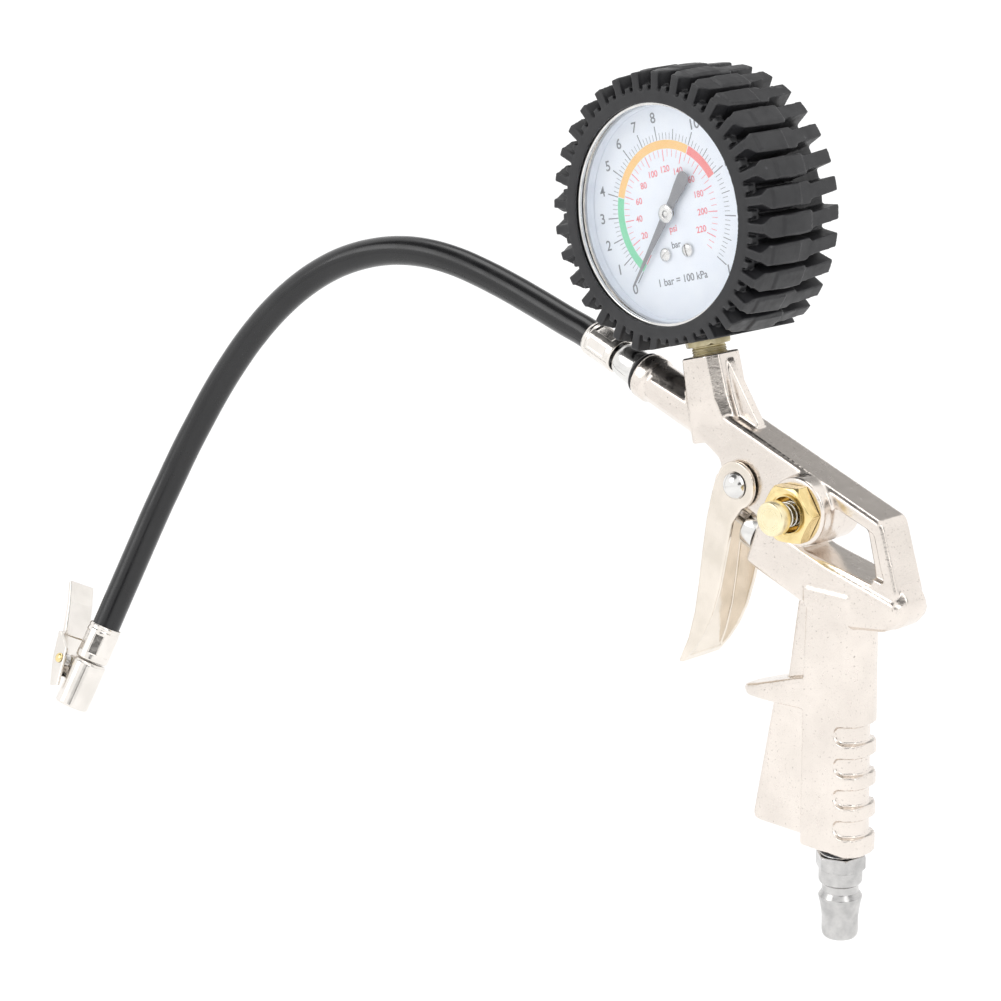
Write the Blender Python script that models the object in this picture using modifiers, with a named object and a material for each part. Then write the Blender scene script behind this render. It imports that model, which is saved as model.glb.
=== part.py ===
"""Tyre inflator gun with dial gauge, hose and clip-on chuck.

World frame in metres: +Z up along the gauge stem, +X towards the back of the
grip, -Y out of the dial's face. The origin is the middle of the grip.
"""
import math

import bmesh
import bpy
from mathutils import Matrix, Vector

for old in list(bpy.data.objects):
    bpy.data.objects.remove(old, do_unlink=True)

# ---------------------------------------------------------------- dimensions
# Lengths are in millimetres and turned into metres by point().
MM = 0.001

SLOPE_DEG = 35.4            # barrel and spine fall this far below level
BARREL_N = 60.3             # barrel axis, distance along the slope's normal
BARREL_START = -99.5        # hose end of the barrel, along the slope
BARREL_R = 6.2
COLLAR_R = 6.9
BODY_HALF = 4.6             # half thickness of the frame around the window
FLAT_HALF = 6.05            # half thickness of the barrel's flat sides
TUBE_HALF = 7.0             # half thickness of the valve tube
TUBE_N = 40.0               # valve bore axis
TUBE_FRONT = -42.6          # front face of the valve tube, along the slope
VALVE_FRONT = -40.5         # where the gland and the valve's parts are measured from
SOCKET_TOP_Z = 109.5        # top face of the gauge socket column
STEM_X = -20.0

GRIP_LEAN_DEG = 14.25       # grip leans forward at its foot
GRIP_HALF = 6.75
GRIP_FRONT = -7.2
GRIP_BACK = 11.8
GRIP_CHAMFER = 3.2
GRIP_FOOT = 33.0
PLUG_V = 2.6                # plug axis across the grip
GROOVE_PITCH = 9.1
GROOVE_HEIGHT = 5.2
GROOVE_DEPTH = 1.2
GROOVE_COUNT = 4
WEB_HALF = 3.9

DIAL_Z = 150.0              # centre of the dial
CASE_R = 32.1
BEZEL_R = 33.4
WINDOW_R = 30.2
BOOT_R = 36.0
BOOT_BORE_R = 33.7
LUG_R = 40.4
LUG_COUNT = 34
BOOT_FRONT_Y = -12.2
BOOT_BACK_Y = 19.4
BOOT_FLAT_Z = 113.6

PIVOT = Vector((-12.5, 0.0, 72.6))    # trigger rivet
TRIGGER_HALF = 8.0
TRIGGER_WALL = 1.3
BLEED = Vector((9.7, 0.0, 63.7))      # bleed valve axis, along Y

HOSE_D = 9.0
FERRULE_R = 5.4
HOSE_START = -108.5         # hose end inside the ferrule, along the slope

# Centreline of the hose, in millimetres, after its straight start.
HOSE_ROUTE = [
    (-74.4, -0.3, 126.3), (-83.6, -1.2, 132.6), (-92.6, -2.6, 138.9),
    (-101.6, -4.5, 145.0), (-110.7, -6.9, 150.6), (-120.2, -9.7, 155.0),
    (-130.2, -12.9, 157.8), (-140.5, -16.1, 158.7), (-150.8, -19.3, 157.9),
    (-160.9, -22.3, 155.4), (-170.5, -25.3, 151.5), (-179.5, -28.4, 146.4),
    (-187.9, -31.7, 140.2), (-195.4, -35.2, 133.2), (-202.2, -38.9, 125.6),
    (-208.4, -42.7, 117.5), (-214.0, -46.8, 109.2), (-219.0, -51.1, 100.5),
    (-223.5, -55.7, 91.8), (-227.6, -60.4, 82.9), (-231.4, -65.3, 73.9),
    (-235.0, -70.3, 65.0), (-238.5, -75.3, 56.1),
]
CHUCK_AXIS = Vector((-0.3276, -0.4697, -0.8198)).normalized()
CHUCK_TOP = Vector(HOSE_ROUTE[-1])
LEVER_SIDE = Vector((-0.86, -0.15, 0.10))
CHUCK_R = 5.6
CHUCK_LENGTH = 16.0
CHUCK_BORE_R = 4.1
LEVER_LEAN_DEG = 19.0

SIN = math.sin(math.radians(SLOPE_DEG))
COS = math.cos(math.radians(SLOPE_DEG))
LEAN_SIN = math.sin(math.radians(GRIP_LEAN_DEG))
LEAN_COS = math.cos(math.radians(GRIP_LEAN_DEG))

# --------------------------------------------------------------- collections
PARTS = bpy.data.collections.new("tyre_inflator")
CUTTERS = bpy.data.collections.new("cutters")
bpy.context.scene.collection.children.link(PARTS)
bpy.context.scene.collection.children.link(CUTTERS)


# ------------------------------------------------------------------- helpers
def slope(along, across, y=0.0):
    """Point in mm from distances along the barrel slope and across it."""
    return Vector((along * COS + across * SIN, y, -along * SIN + across * COS))


def grip(across, down, y=0.0):
    """Point in mm from distances across the grip and down its length."""
    x = across * LEAN_COS - down * LEAN_SIN
    z = -across * LEAN_SIN - down * LEAN_COS
    return Vector((x, y, z))


SLOPE_DIR = slope(1.0, 0.0)
SLOPE_UP = slope(0.0, 1.0)
GRIP_DOWN = grip(0.0, 1.0)
GRIP_ACROSS = grip(1.0, 0.0)


def point(vector):
    return Vector(vector) * MM


def frame_matrix(origin, z_axis, x_hint):
    """Matrix whose Z is z_axis and whose X lies near x_hint, origin in mm."""
    z = Vector(z_axis).normalized()
    x = Vector(x_hint)
    x = (x - z * x.dot(z)).normalized()
    y = z.cross(x)
    turn = Matrix((x, y, z)).transposed().to_4x4()
    return Matrix.Translation(Vector(origin)) @ turn


def is_warped(face):
    """True when the face's corners don't lie in one plane."""
    if len(face.verts) < 4:
        return False
    face.normal_update()
    centre = face.calc_center_median()
    return max(abs((v.co - centre).dot(face.normal)) for v in face.verts) > 2e-7


def finish_mesh(bm, name, collection):
    bmesh.ops.remove_doubles(bm, verts=bm.verts, dist=1e-6)
    warped = [face for face in bm.faces if is_warped(face)]
    if warped:
        bmesh.ops.triangulate(bm, faces=warped)
    bmesh.ops.recalc_face_normals(bm, faces=bm.faces)
    mesh = bpy.data.meshes.new(name)
    bm.to_mesh(mesh)
    bm.free()
    made = bpy.data.objects.new(name, mesh)
    collection.objects.link(made)
    if collection == CUTTERS:
        made.hide_render = True
        made.display_type = "WIRE"
    return made


def loft(name, rings, collection=PARTS, closed=False):
    """Skin between rings of points in mm; a closed loft joins end to start."""
    bm = bmesh.new()
    made = [[bm.verts.new(point(p)) for p in ring] for ring in rings]
    pairs = list(zip(made, made[1:]))
    if closed:
        pairs.append((made[-1], made[0]))
    count = len(made[0])
    for low, high in pairs:
        for i in range(count):
            j = (i + 1) % count
            bm.faces.new((low[i], low[j], high[j], high[i]))
    if not closed:
        bm.faces.new(made[0])
        bm.faces.new(list(reversed(made[-1])))
    return finish_mesh(bm, name, collection)


def prism(name, outline, y0, y1, collection=PARTS, bevel=0.0, segments=1):
    """Outline of (x, z) points in mm run from y0 to y1."""
    low = [(x, y0, z) for x, z in outline]
    high = [(x, y1, z) for x, z in outline]
    made = loft(name, [low, high], collection)
    if bevel:
        add_bevel(made, bevel, segments)
    return made


def add_bevel(made, width, segments=1, angle=30.0):
    mod = made.modifiers.new("edges", "BEVEL")
    mod.width = width * MM
    mod.segments = segments
    mod.limit_method = "ANGLE"
    mod.angle_limit = math.radians(angle)
    mod.use_clamp_overlap = True
    return mod


def turned(name, profile, matrix, steps=40, collection=PARTS, ring=False):
    """Profile of (radius, height) in mm turned about the matrix's Z axis."""
    bm = bmesh.new()
    verts = [bm.verts.new((r * MM, 0.0, h * MM)) for r, h in profile]
    edges = [bm.edges.new(pair) for pair in zip(verts, verts[1:])]
    if ring:
        edges.append(bm.edges.new((verts[-1], verts[0])))
    bmesh.ops.spin(bm, geom=verts + edges, cent=(0, 0, 0), axis=(0, 0, 1),
                   dvec=(0, 0, 0), angle=2 * math.pi, steps=steps,
                   use_merge=True)
    bmesh.ops.remove_doubles(bm, verts=bm.verts, dist=1e-6)
    middles = []
    for vert in bm.verts:
        if vert.co.xy.length < 1e-7:
            if all(abs(e.other_vert(vert).co.z - vert.co.z) < 1e-7
                   for e in vert.link_edges):
                middles.append(vert)
    if middles:
        bmesh.ops.dissolve_verts(bm, verts=middles)
    scaled = matrix.copy()
    scaled.translation = matrix.translation * MM
    bmesh.ops.transform(bm, matrix=scaled, verts=bm.verts)
    return finish_mesh(bm, name, collection)


def rod(name, start, end, radius, steps=32, collection=PARTS, chamfer=0.0):
    """Plain round bar between two points in mm, with flat round ends."""
    start = Vector(start)
    axis = Vector(end) - start
    hint = Vector((0, 1, 0)) if abs(axis.normalized().y) < 0.9 else Vector((1, 0, 0))
    matrix = frame_matrix(start, axis, hint)
    tall = axis.length
    profile = [(radius, 0.0), (radius, tall)]
    if chamfer:
        profile = [(radius - chamfer, 0.0), (radius, chamfer),
                   (radius, tall - chamfer), (radius - chamfer, tall)]
    first = 0.37 + 0.13 * (len(bpy.data.meshes) % 17)
    rings = []
    for r, h in profile:
        ring = []
        for i in range(steps):
            angle = 2 * math.pi * (i + first) / steps
            ring.append(matrix @ Vector((r * math.cos(angle), r * math.sin(angle), h)))
        rings.append(ring)
    return loft(name, rings, collection)


def hexagon(name, start, end, flats, collection=PARTS, turn=0.0):
    """Hexagonal bar with its corners eased, between two points in mm."""
    start = Vector(start)
    axis = Vector(end) - start
    hint = Vector((0, 1, 0)) if abs(axis.normalized().y) < 0.9 else Vector((1, 0, 0))
    matrix = frame_matrix(start, axis, hint)
    corner = flats / math.sqrt(3.0)
    ease = 0.5
    rings = []
    for radius, height in ((corner - ease, 0.0), (corner, ease * 0.6),
                           (corner, axis.length - ease * 0.6),
                           (corner - ease, axis.length)):
        ring = []
        for i in range(6):
            angle = math.radians(60 * i + turn)
            ring.append(matrix @ Vector((radius * math.cos(angle),
                                         radius * math.sin(angle), height)))
        rings.append(ring)
    return loft(name, rings, collection)


def combine(target, other, operation):
    mod = target.modifiers.new(other.name, "BOOLEAN")
    mod.operation = operation
    mod.solver = "EXACT"
    mod.object = other
    return mod


def add(target, *others):
    for other in others:
        combine(target, other, "UNION")


def cut(target, *others):
    for other in others:
        combine(target, other, "DIFFERENCE")


def swept(name, points, radius, collection=PARTS, resolution=3, cyclic=False):
    """Round wire along points in mm, turned into a closed mesh."""
    curve = bpy.data.curves.new(name + "_path", "CURVE")
    curve.dimensions = "3D"
    curve.bevel_depth = radius * MM
    curve.bevel_resolution = resolution
    curve.use_fill_caps = not cyclic
    curve.twist_mode = "MINIMUM"
    spline = curve.splines.new("POLY")
    spline.points.add(len(points) - 1)
    for target, p in zip(spline.points, points):
        target.co = (p[0] * MM, p[1] * MM, p[2] * MM, 1.0)
    spline.use_cyclic_u = cyclic
    holder = bpy.data.objects.new(name + "_path", curve)
    bpy.context.scene.collection.objects.link(holder)
    bpy.context.view_layer.update()
    graph = bpy.context.evaluated_depsgraph_get()
    mesh = bpy.data.meshes.new_from_object(holder.evaluated_get(graph))
    bpy.data.objects.remove(holder, do_unlink=True)
    bm = bmesh.new()
    bm.from_mesh(mesh)
    bpy.data.meshes.remove(mesh)
    return finish_mesh(bm, name, collection)


def coil(name, start, end, mean_radius, wire, turns, collection=PARTS):
    """Helical spring between two points in mm."""
    start = Vector(start)
    axis = Vector(end) - start
    hint = Vector((0, 1, 0)) if abs(axis.normalized().y) < 0.9 else Vector((1, 0, 0))
    matrix = frame_matrix(start, axis, hint)
    count = int(turns * 10)
    points = []
    for i in range(count + 1):
        angle = 2 * math.pi * turns * i / count
        height = wire + (axis.length - 2 * wire) * i / count
        points.append(matrix @ Vector((mean_radius * math.cos(angle),
                                       mean_radius * math.sin(angle), height)))
    return swept(name, points, wire, collection, resolution=0)


def ring_of(name, centre, axis, major, minor, collection=PARTS, steps=24):
    """Round-section ring, such as an O-ring."""
    hint = Vector((0, 1, 0)) if abs(Vector(axis).normalized().y) < 0.9 else Vector((1, 0, 0))
    matrix = frame_matrix(centre, axis, hint)
    profile = []
    for i in range(8):
        angle = 2 * math.pi * i / 8
        profile.append((major + minor * math.cos(angle), minor * math.sin(angle)))
    return turned(name, profile, matrix, steps, collection, ring=True)


def move_origin(made, where):
    """Put the object's origin at a point in mm without moving its shape."""
    shift = point(where)
    made.data.transform(Matrix.Translation(-shift))
    made.location = shift


MATERIALS = {}


def paint(made, name, colour, metallic, roughness, alpha=1.0):
    if name not in MATERIALS:
        material = bpy.data.materials.new(name)
        material.use_nodes = True
        shader = material.node_tree.nodes["Principled BSDF"]
        shader.inputs["Base Color"].default_value = (*colour, 1.0)
        shader.inputs["Metallic"].default_value = metallic
        shader.inputs["Roughness"].default_value = roughness
        shader.inputs["Alpha"].default_value = alpha
        material.diffuse_color = (*colour, alpha)
        MATERIALS[name] = material
    made.data.materials.clear()
    made.data.materials.append(MATERIALS[name])
    return made


def nickel(made):
    return paint(made, made.name + "_nickel", (0.83, 0.80, 0.75), 1.0, 0.28)


def steel(made):
    return paint(made, made.name + "_steel", (0.72, 0.72, 0.73), 1.0, 0.30)


def brass(made):
    return paint(made, made.name + "_brass", (0.80, 0.65, 0.33), 1.0, 0.25)


def rubber(made):
    return paint(made, made.name + "_rubber", (0.02, 0.02, 0.022), 0.0, 0.6)


# ------------------------------------------------------------------ gun body
def xz(vector):
    return (vector.x, vector.z)


def make_body():
    outline = [xz(slope(-94.0, 63.8)), xz(slope(-78.0, 64.4)), xz(slope(-72.0, 67.3)),
               xz(slope(-5.2, 67.3)), (35.7, 37.5), (31.0, 31.5),
               xz(slope(-37.0, 37.0)), xz(slope(-37.0, 46.0)),
               xz(slope(-48.0, 46.2)), xz(slope(-57.5, 48.5)),
               xz(slope(-62.0, 54.5)), xz(slope(-72.0, 56.6)), xz(slope(-94.0, 56.8))]
    body = prism("gun_body", outline, -FLAT_HALF, FLAT_HALF, PARTS, bevel=1.0)

    barrel = turned("barrel_round", [(0, 0), (COLLAR_R - 0.4, 0), (COLLAR_R, 0.4),
                                     (COLLAR_R, 4.2), (COLLAR_R - 0.35, 4.6),
                                     (BARREL_R, 4.7), (BARREL_R, 38.0), (0, 38.0)],
                    frame_matrix(slope(BARREL_START, BARREL_N), SLOPE_DIR, (0, 1, 0)),
                    30, CUTTERS)

    rings = []
    for z, half_x, half_y, ease, shift in ((SOCKET_TOP_Z, 7.1, 7.05, 2.9, 0.0),
                                           (97.0, 7.9, 6.9, 2.9, -0.5),
                                           (85.3, 9.4, 5.55, 2.2, -0.5)):
        ring = [(half_x - ease, -half_y), (half_x, -half_y + ease),
                (half_x, half_y - ease), (half_x - ease, half_y),
                (-half_x + ease, half_y), (-half_x, half_y - ease),
                (-half_x, -half_y + ease), (-half_x + ease, -half_y)]
        rings.append([(STEM_X + shift + x, y, z) for x, y in ring])
    column = loft("socket_column", rings, CUTTERS)
    gusset = prism("gusset", [(-13.6, 108.2), (-12.4, 107.0), (-5.4, 87.4), (-16.0, 88.0)],
                   -1.7, 1.7, CUTTERS, bevel=0.4)

    boss = rod("bleed_boss", (BLEED.x, 0.0, BLEED.z), (BLEED.x, -10.0, BLEED.z),
               9.6, 36, CUTTERS, 0.5)
    lug = rod("pivot_lug", (PIVOT.x, -6.2, PIVOT.z), (PIVOT.x, 6.2, PIVOT.z),
              5.6, 24, CUTTERS, 0.3)

    tube = prism("valve_tube", [xz(slope(TUBE_FRONT, 32.6)), xz(slope(TUBE_FRONT, 47.2)),
                                (14.0, 48.6), (35.8, 36.2), (35.5, 31.5), (30.0, 28.5),
                                (18.0, 30.0), (2.0, 38.4)],
                 -TUBE_HALF, TUBE_HALF, CUTTERS, bevel=1.3)
    heel = rod("heel_lug", (30.6, -5.6, 35.4), (30.6, 5.6, 35.4), 6.6, 28, CUTTERS, 2.0)

    section = [(GRIP_FRONT, -GRIP_HALF), (GRIP_BACK - GRIP_CHAMFER, -GRIP_HALF),
               (GRIP_BACK - 0.8, -GRIP_HALF + 2.2),
               (GRIP_BACK, -GRIP_HALF + 4.6), (GRIP_BACK, GRIP_HALF - 4.6),
               (GRIP_BACK - 0.8, GRIP_HALF - 2.2),
               (GRIP_BACK - GRIP_CHAMFER, GRIP_HALF), (GRIP_FRONT, GRIP_HALF)]
    rings = []
    for down, front in ((-42.0, 1.8), (-20.0, 0.8), (GRIP_FOOT, 0.0)):
        rings.append([grip(v + (front if v == GRIP_FRONT else 0.0), down, y)
                      for v, y in section])
    handle = loft("grip_block", rings, CUTTERS)
    add_bevel(handle, 0.7, 1, 50.0)
    rings = []
    for down, grow in ((-43.5, 0.2), (-42.3, 0.95), (-38.4, 0.95), (-37.2, 0.1)):
        ring = []
        for v, y in section:
            wide = y + math.copysign(grow, y)
            deep = v + (1.8 if v == GRIP_FRONT else grow)
            ring.append(grip(deep, down, wide))
        rings.append(ring)
    ledge = loft("grip_ledge", rings, CUTTERS)

    web = prism("finger_web", [xz(grip(-10.8, -38.0)), xz(grip(-14.4, -15.0)),
                               xz(grip(-19.6, -7.0)), xz(grip(-27.2, 29.6)),
                               xz(grip(-26.0, 31.4)), xz(grip(0.0, 31.4)),
                               xz(grip(0.0, -38.0))],
                -WEB_HALF, WEB_HALF, CUTTERS, bevel=1.1)
    rings = []
    for x, top, low, half in ((2.0, 17.9, 7.0, 6.7), (-10.0, 17.1, 9.4, 6.6),
                              (-20.0, 16.3, 11.3, 6.0), (-26.0, 15.9, 12.3, 4.4),
                              (-28.6, 15.5, 13.2, 2.4)):
        rings.append([(x, -half, low), (x, half, low), (x, half, top), (x, -half, top)])
    fin = loft("finger_rest", rings, CUTTERS)
    add_bevel(fin, 0.8, 1, 40.0)

    add(body, tube, barrel, column, gusset, boss, lug, heel, handle, ledge,
        web, fin)

    # The frame around the window is thinner than the barrel's flat sides.
    for side in (-1, 1):
        thin = prism("side_relief", [xz(slope(-27.0, 63.0)), xz(slope(-9.0, 63.4)),
                                     (31.6, 55.0), (32.0, 41.5), (8.5, 54.8)],
                     side * BODY_HALF, side * 9.0, CUTTERS, bevel=0.0)
        keep = rod("relief_keep", (BLEED.x, side * 12.0, BLEED.z),
                   (BLEED.x, side * 3.0, BLEED.z), 9.9, 36, CUTTERS)
        cut(thin, keep)
        cut(body, thin)
    window = prism("window", [(5.6, 53.4), (18.6, 63.9), (28.7, 56.7), (28.5, 41.4)],
                   -20.0, 20.0, CUTTERS, bevel=1.0)
    keep = rod("window_keep", (BLEED.x, 22.0, BLEED.z), (BLEED.x, -22.0, BLEED.z),
               9.9, 36, CUTTERS)
    cut(window, keep)

    socket = rod("gauge_socket", (STEM_X, 0, SOCKET_TOP_Z + 2), (STEM_X, 0, 98.6),
                 5.0, 24, CUTTERS)
    socket_pass = rod("gauge_pass", (STEM_X, 0, 99.5), (STEM_X, 0, 89.0),
                      1.8, 16, CUTTERS)
    mouth = rod("barrel_mouth", slope(BARREL_START - 3, BARREL_N),
                slope(-88.0, BARREL_N), 4.7, 24, CUTTERS)
    bore = rod("barrel_bore", slope(-89.0, BARREL_N), slope(-34.0, BARREL_N),
               2.2, 16, CUTTERS)
    riser = rod("valve_riser", slope(-34.5, BARREL_N - 0.4), slope(-34.5, TUBE_N),
                1.7, 16, CUTTERS)
    chamber = rod("valve_bore", slope(TUBE_FRONT - 3, TUBE_N), slope(-7.0, TUBE_N),
                  5.0, 24, CUTTERS)
    feed = rod("inlet_pass", grip(PLUG_V, 24.0), grip(PLUG_V, -38.5), 2.4, 16, CUTTERS)
    inlet = rod("inlet_socket", grip(PLUG_V, GRIP_FOOT + 2), grip(PLUG_V, 22.0),
                4.9, 24, CUTTERS)
    bleed_bore = rod("bleed_bore", (BLEED.x, -12.0, BLEED.z), (BLEED.x, 1.2, BLEED.z),
                     6.7, 28, CUTTERS)
    bleed_pass = rod("bleed_pass", (BLEED.x, -2.6, BLEED.z),
                     slope(-40.0, BARREL_N), 1.2, 12, CUTTERS)
    pivot_hole = rod("pivot_hole", (PIVOT.x, -10, PIVOT.z), (PIVOT.x, 10, PIVOT.z),
                     2.3, 24, CUTTERS)
    cut(body, window, socket, socket_pass, mouth, bore, riser, chamber, feed, inlet,
        bleed_bore, bleed_pass, pivot_hole)

    # Finger grooves wrap round the grip's back: slots with a smaller core left in.
    for index in range(GROOVE_COUNT):
        down = -2.6 + index * GROOVE_PITCH
        outline = []
        half = GROOVE_HEIGHT / 2
        for i in range(9):
            angle = math.pi / 2 + math.pi * i / 8
            outline.append(xz(grip(7.4 + half * math.cos(angle),
                                   down - half * math.sin(angle))))
        outline.append(xz(grip(20.0, down + half)))
        outline.append(xz(grip(20.0, down - half)))
        slot = prism("groove_%d" % index, outline, -12.0, 12.0, CUTTERS)
        rings = []
        for step in (down - 6.0, down + 6.0):
            ring = []
            for v, y in section:
                across = v - GROOVE_DEPTH if v > 0 else v
                ring.append(grip(across, step, y - math.copysign(GROOVE_DEPTH, y)))
            rings.append(ring)
        core = loft("groove_core_%d" % index, rings, CUTTERS)
        cut(slot, core)
        cut(body, slot)
    return nickel(body)


make_body()

# ----------------------------------------------------- hose fitting, ferrules
def along_barrel(along):
    return frame_matrix(slope(along, BARREL_N), -SLOPE_DIR, (0, 1, 0))


nickel(turned("hose_fitting", [(1.6, 11.0), (1.6, -10.6), (4.4, -10.6), (4.4, 0.4),
                               (5.1, 0.5), (5.3, 1.2), (5.3, 5.6), (5.0, 8.0),
                               (4.6, 8.7), (2.3, 8.7), (2.3, 11.0)],
              along_barrel(BARREL_START - 1.5), ring=True, steps=24))
fit_ring = turned("fitting_washer", [(4.7, 0.25), (6.2, 0.25), (6.4, 0.45), (6.4, 1.15),
                                     (6.2, 1.35), (4.7, 1.35)],
                  along_barrel(BARREL_START), ring=True, steps=24)
rubber(fit_ring)


def ferrule(name, matrix, length):
    """Crimped sleeve with six long pressed flats."""
    sleeve = turned(name, [(HOSE_D / 2 + 0.15, 0.0), (FERRULE_R - 0.3, 0.0),
                           (FERRULE_R, 0.3), (FERRULE_R, length - 0.5),
                           (FERRULE_R - 0.4, length), (HOSE_D / 2 + 0.15, length)],
                    matrix, ring=True, steps=30)
    for i in range(6):
        turn = matrix @ Matrix.Rotation(math.radians(60 * i), 4, "Z")
        rings = []
        for height in (2.0, length - 2.0):
            ring = []
            for x, y in ((FERRULE_R - 0.28, -1.5), (FERRULE_R + 2, -1.5),
                         (FERRULE_R + 2, 1.5), (FERRULE_R - 0.28, 1.5)):
                ring.append(turn @ Vector((x, y, height)))
            rings.append(ring)
        flat = loft(name + "_flat", rings, CUTTERS)
        cut(sleeve, flat)
    return nickel(sleeve)


FERRULE_LENGTH = 12.0
ferrule("gun_ferrule", along_barrel(-110.4), FERRULE_LENGTH)

# ---------------------------------------------------------------------- hose
HOSE_FRONT = [slope(-112.6, BARREL_N), slope(-116.5, BARREL_N),
              slope(-121.0, BARREL_N), slope(-126.5, BARREL_N)]


def smooth_route(points, step):
    """Even points along a Catmull-Rom curve through the given points."""
    pts = [Vector(p) for p in points]
    pts = [pts[0] * 2 - pts[1]] + pts + [pts[-1] * 2 - pts[-2]]
    dense = []
    for a, b, c, d in zip(pts, pts[1:], pts[2:], pts[3:]):
        for i in range(8):
            t = i / 8.0
            dense.append(0.5 * ((2 * b) + (c - a) * t
                                + (2 * a - 5 * b + 4 * c - d) * t * t
                                + (3 * b - a - 3 * c + d) * t * t * t))
    dense.append(pts[-2])
    length = sum((b - a).length for a, b in zip(dense, dense[1:]))
    count = max(2, round(length / step))
    even = [dense[0]]
    walked = 0.0
    for a, b in zip(dense, dense[1:]):
        part = (b - a).length
        while part and walked + part >= len(even) * length / count - 1e-6:
            if len(even) == count:
                break
            t = (len(even) * length / count - walked) / part
            even.append(a.lerp(b, t))
        walked += part
    even.append(dense[-1])
    return even


HOSE_END = CHUCK_TOP + CHUCK_AXIS * 9.5
HOSE_POINTS = smooth_route(HOSE_FRONT + HOSE_ROUTE + [HOSE_END], 7.5)
hose = swept("hose", HOSE_POINTS, HOSE_D / 2, resolution=4)
rubber(hose)

# ------------------------------------------------------------ chuck on a hose
CHUCK = frame_matrix(CHUCK_TOP, -CHUCK_AXIS, LEVER_SIDE)


def chuck_at(x, y, z):
    return CHUCK @ Vector((x, y, z))


ferrule("chuck_ferrule", CHUCK @ Matrix.Translation((0, 0, -10.6)), FERRULE_LENGTH)
CHUCK_FOOT = -11.0 - CHUCK_LENGTH
barrel = turned("chuck_body", [(CHUCK_BORE_R, CHUCK_FOOT), (CHUCK_R - 0.5, CHUCK_FOOT),
                               (CHUCK_R, CHUCK_FOOT + 0.5), (CHUCK_R, -12.0),
                               (CHUCK_R - 0.7, -11.1), (1.4, -11.1), (1.4, -15.5),
                               (CHUCK_BORE_R, -15.5)],
                CHUCK, ring=True, steps=30)
slot = loft("chuck_slot", [[chuck_at(x, y, z) for x, y in
                            ((2.2, -2.0), (8, -2.0), (8, 2.0), (2.2, 2.0))]
                           for z in (-25.6, -16.4)], CUTTERS)
lug = loft("chuck_lug", [[chuck_at(x, y, z) for x, y in
                          ((4.7, -2.6), (8.1, -2.6), (8.1, 2.6), (4.7, 2.6))]
                         for z in (-16.0, -11.9)], CUTTERS)
add_bevel(lug, 0.6)
lug_hole = rod("chuck_lug_hole", chuck_at(6.8, -9, -14.0), chuck_at(6.8, 9, -14.0),
               1.25, 20, CUTTERS)
add(barrel, lug)
cut(barrel, slot, lug_hole)
nickel(barrel)
rubber(turned("chuck_seal", [(1.8, -18.6), (3.9, -18.6), (3.9, -15.9), (1.8, -15.9)],
              CHUCK, ring=True, steps=22))
brass(turned("chuck_core_pin", [(0, -21.5), (0.9, -21.5), (1.1, -21.2), (1.1, -13.6),
                                (0, -13.6)], CHUCK, steps=16))

PIVOT_Z = -14.0
EAR_HALF = 7.0
lean = Matrix.Rotation(math.radians(LEVER_LEAN_DEG), 4, "Y")
LEVER_FRAME = CHUCK @ Matrix.Translation((6.8, 0, PIVOT_Z)) @ lean


def lever_at(x, y, z):
    return LEVER_FRAME @ Vector((x, y, z))


def make_chuck_lever():
    outline = [(-1.6, -9.0), (2.0, -9.2), (3.3, 0.0), (2.9, 8.0), (3.4, 19.0),
               (4.6, 26.0), (3.6, 26.5), (2.3, 19.5), (1.3, 8.5), (-2.4, 3.2)]
    rings = [[lever_at(x, y, z) for x, z in outline] for y in (-EAR_HALF, EAR_HALF)]
    lever = loft("chuck_lever", rings)
    inner = [(-6.0, -5.0), (1.7, -5.0), (2.3, 0.0), (1.9, 8.0), (1.0, 8.6), (-6.0, 7.0)]
    rings = [[lever_at(x, y, z) for x, z in inner]
             for y in (-EAR_HALF + 1.0, EAR_HALF - 1.0)]
    cut(lever, loft("lever_inside", rings, CUTTERS))
    floor = [(-6.0, -12.0), (4.5, -12.0), (4.5, -5.6), (1.7, -5.4), (1.7, -4.6),
             (-6.0, -4.6)]
    rings = [[lever_at(x, y, z) for x, z in floor]
             for y in (-EAR_HALF + 1.0, EAR_HALF - 1.0)]
    cut(lever, loft("lever_floor", rings, CUTTERS))
    for side in (-1, 1):
        rings = [[lever_at(x, y, z) for x, z in ((-6, 9.0), (12, 9.0), (12, 40), (-6, 40))]
                 for y in (side * (EAR_HALF - 1.8), side * 12.0)]
        cut(lever, loft("lever_trim_%d" % side, rings, CUTTERS))
    hole = rod("lever_hole", lever_at(0, -9, 0), lever_at(0, 9, 0), 1.15, 20, CUTTERS)
    cut(lever, hole)
    return nickel(lever)


chuck_lever = make_chuck_lever()
LEVER_PIVOT_AT = lever_at(0, 0, 0)
move_origin(chuck_lever, LEVER_PIVOT_AT)
steel(turned("chuck_pin", [(0, -7.6), (1.6, -7.6), (1.6, -7.2), (1.05, -7.2),
                           (1.05, 7.2), (1.6, 7.2), (1.6, 7.6), (0, 7.6)],
             frame_matrix(LEVER_PIVOT_AT, lever_at(0, 1, 0) - lever_at(0, 0, 0), (1, 0, 0)),
             steps=20))

lever_spring = coil("chuck_lever_spring", chuck_at(6.8, -5.6, -14.0),
                    chuck_at(6.8, -2.9, -14.0), 1.6, 0.25, 3, PARTS)
steel(lever_spring)


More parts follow.
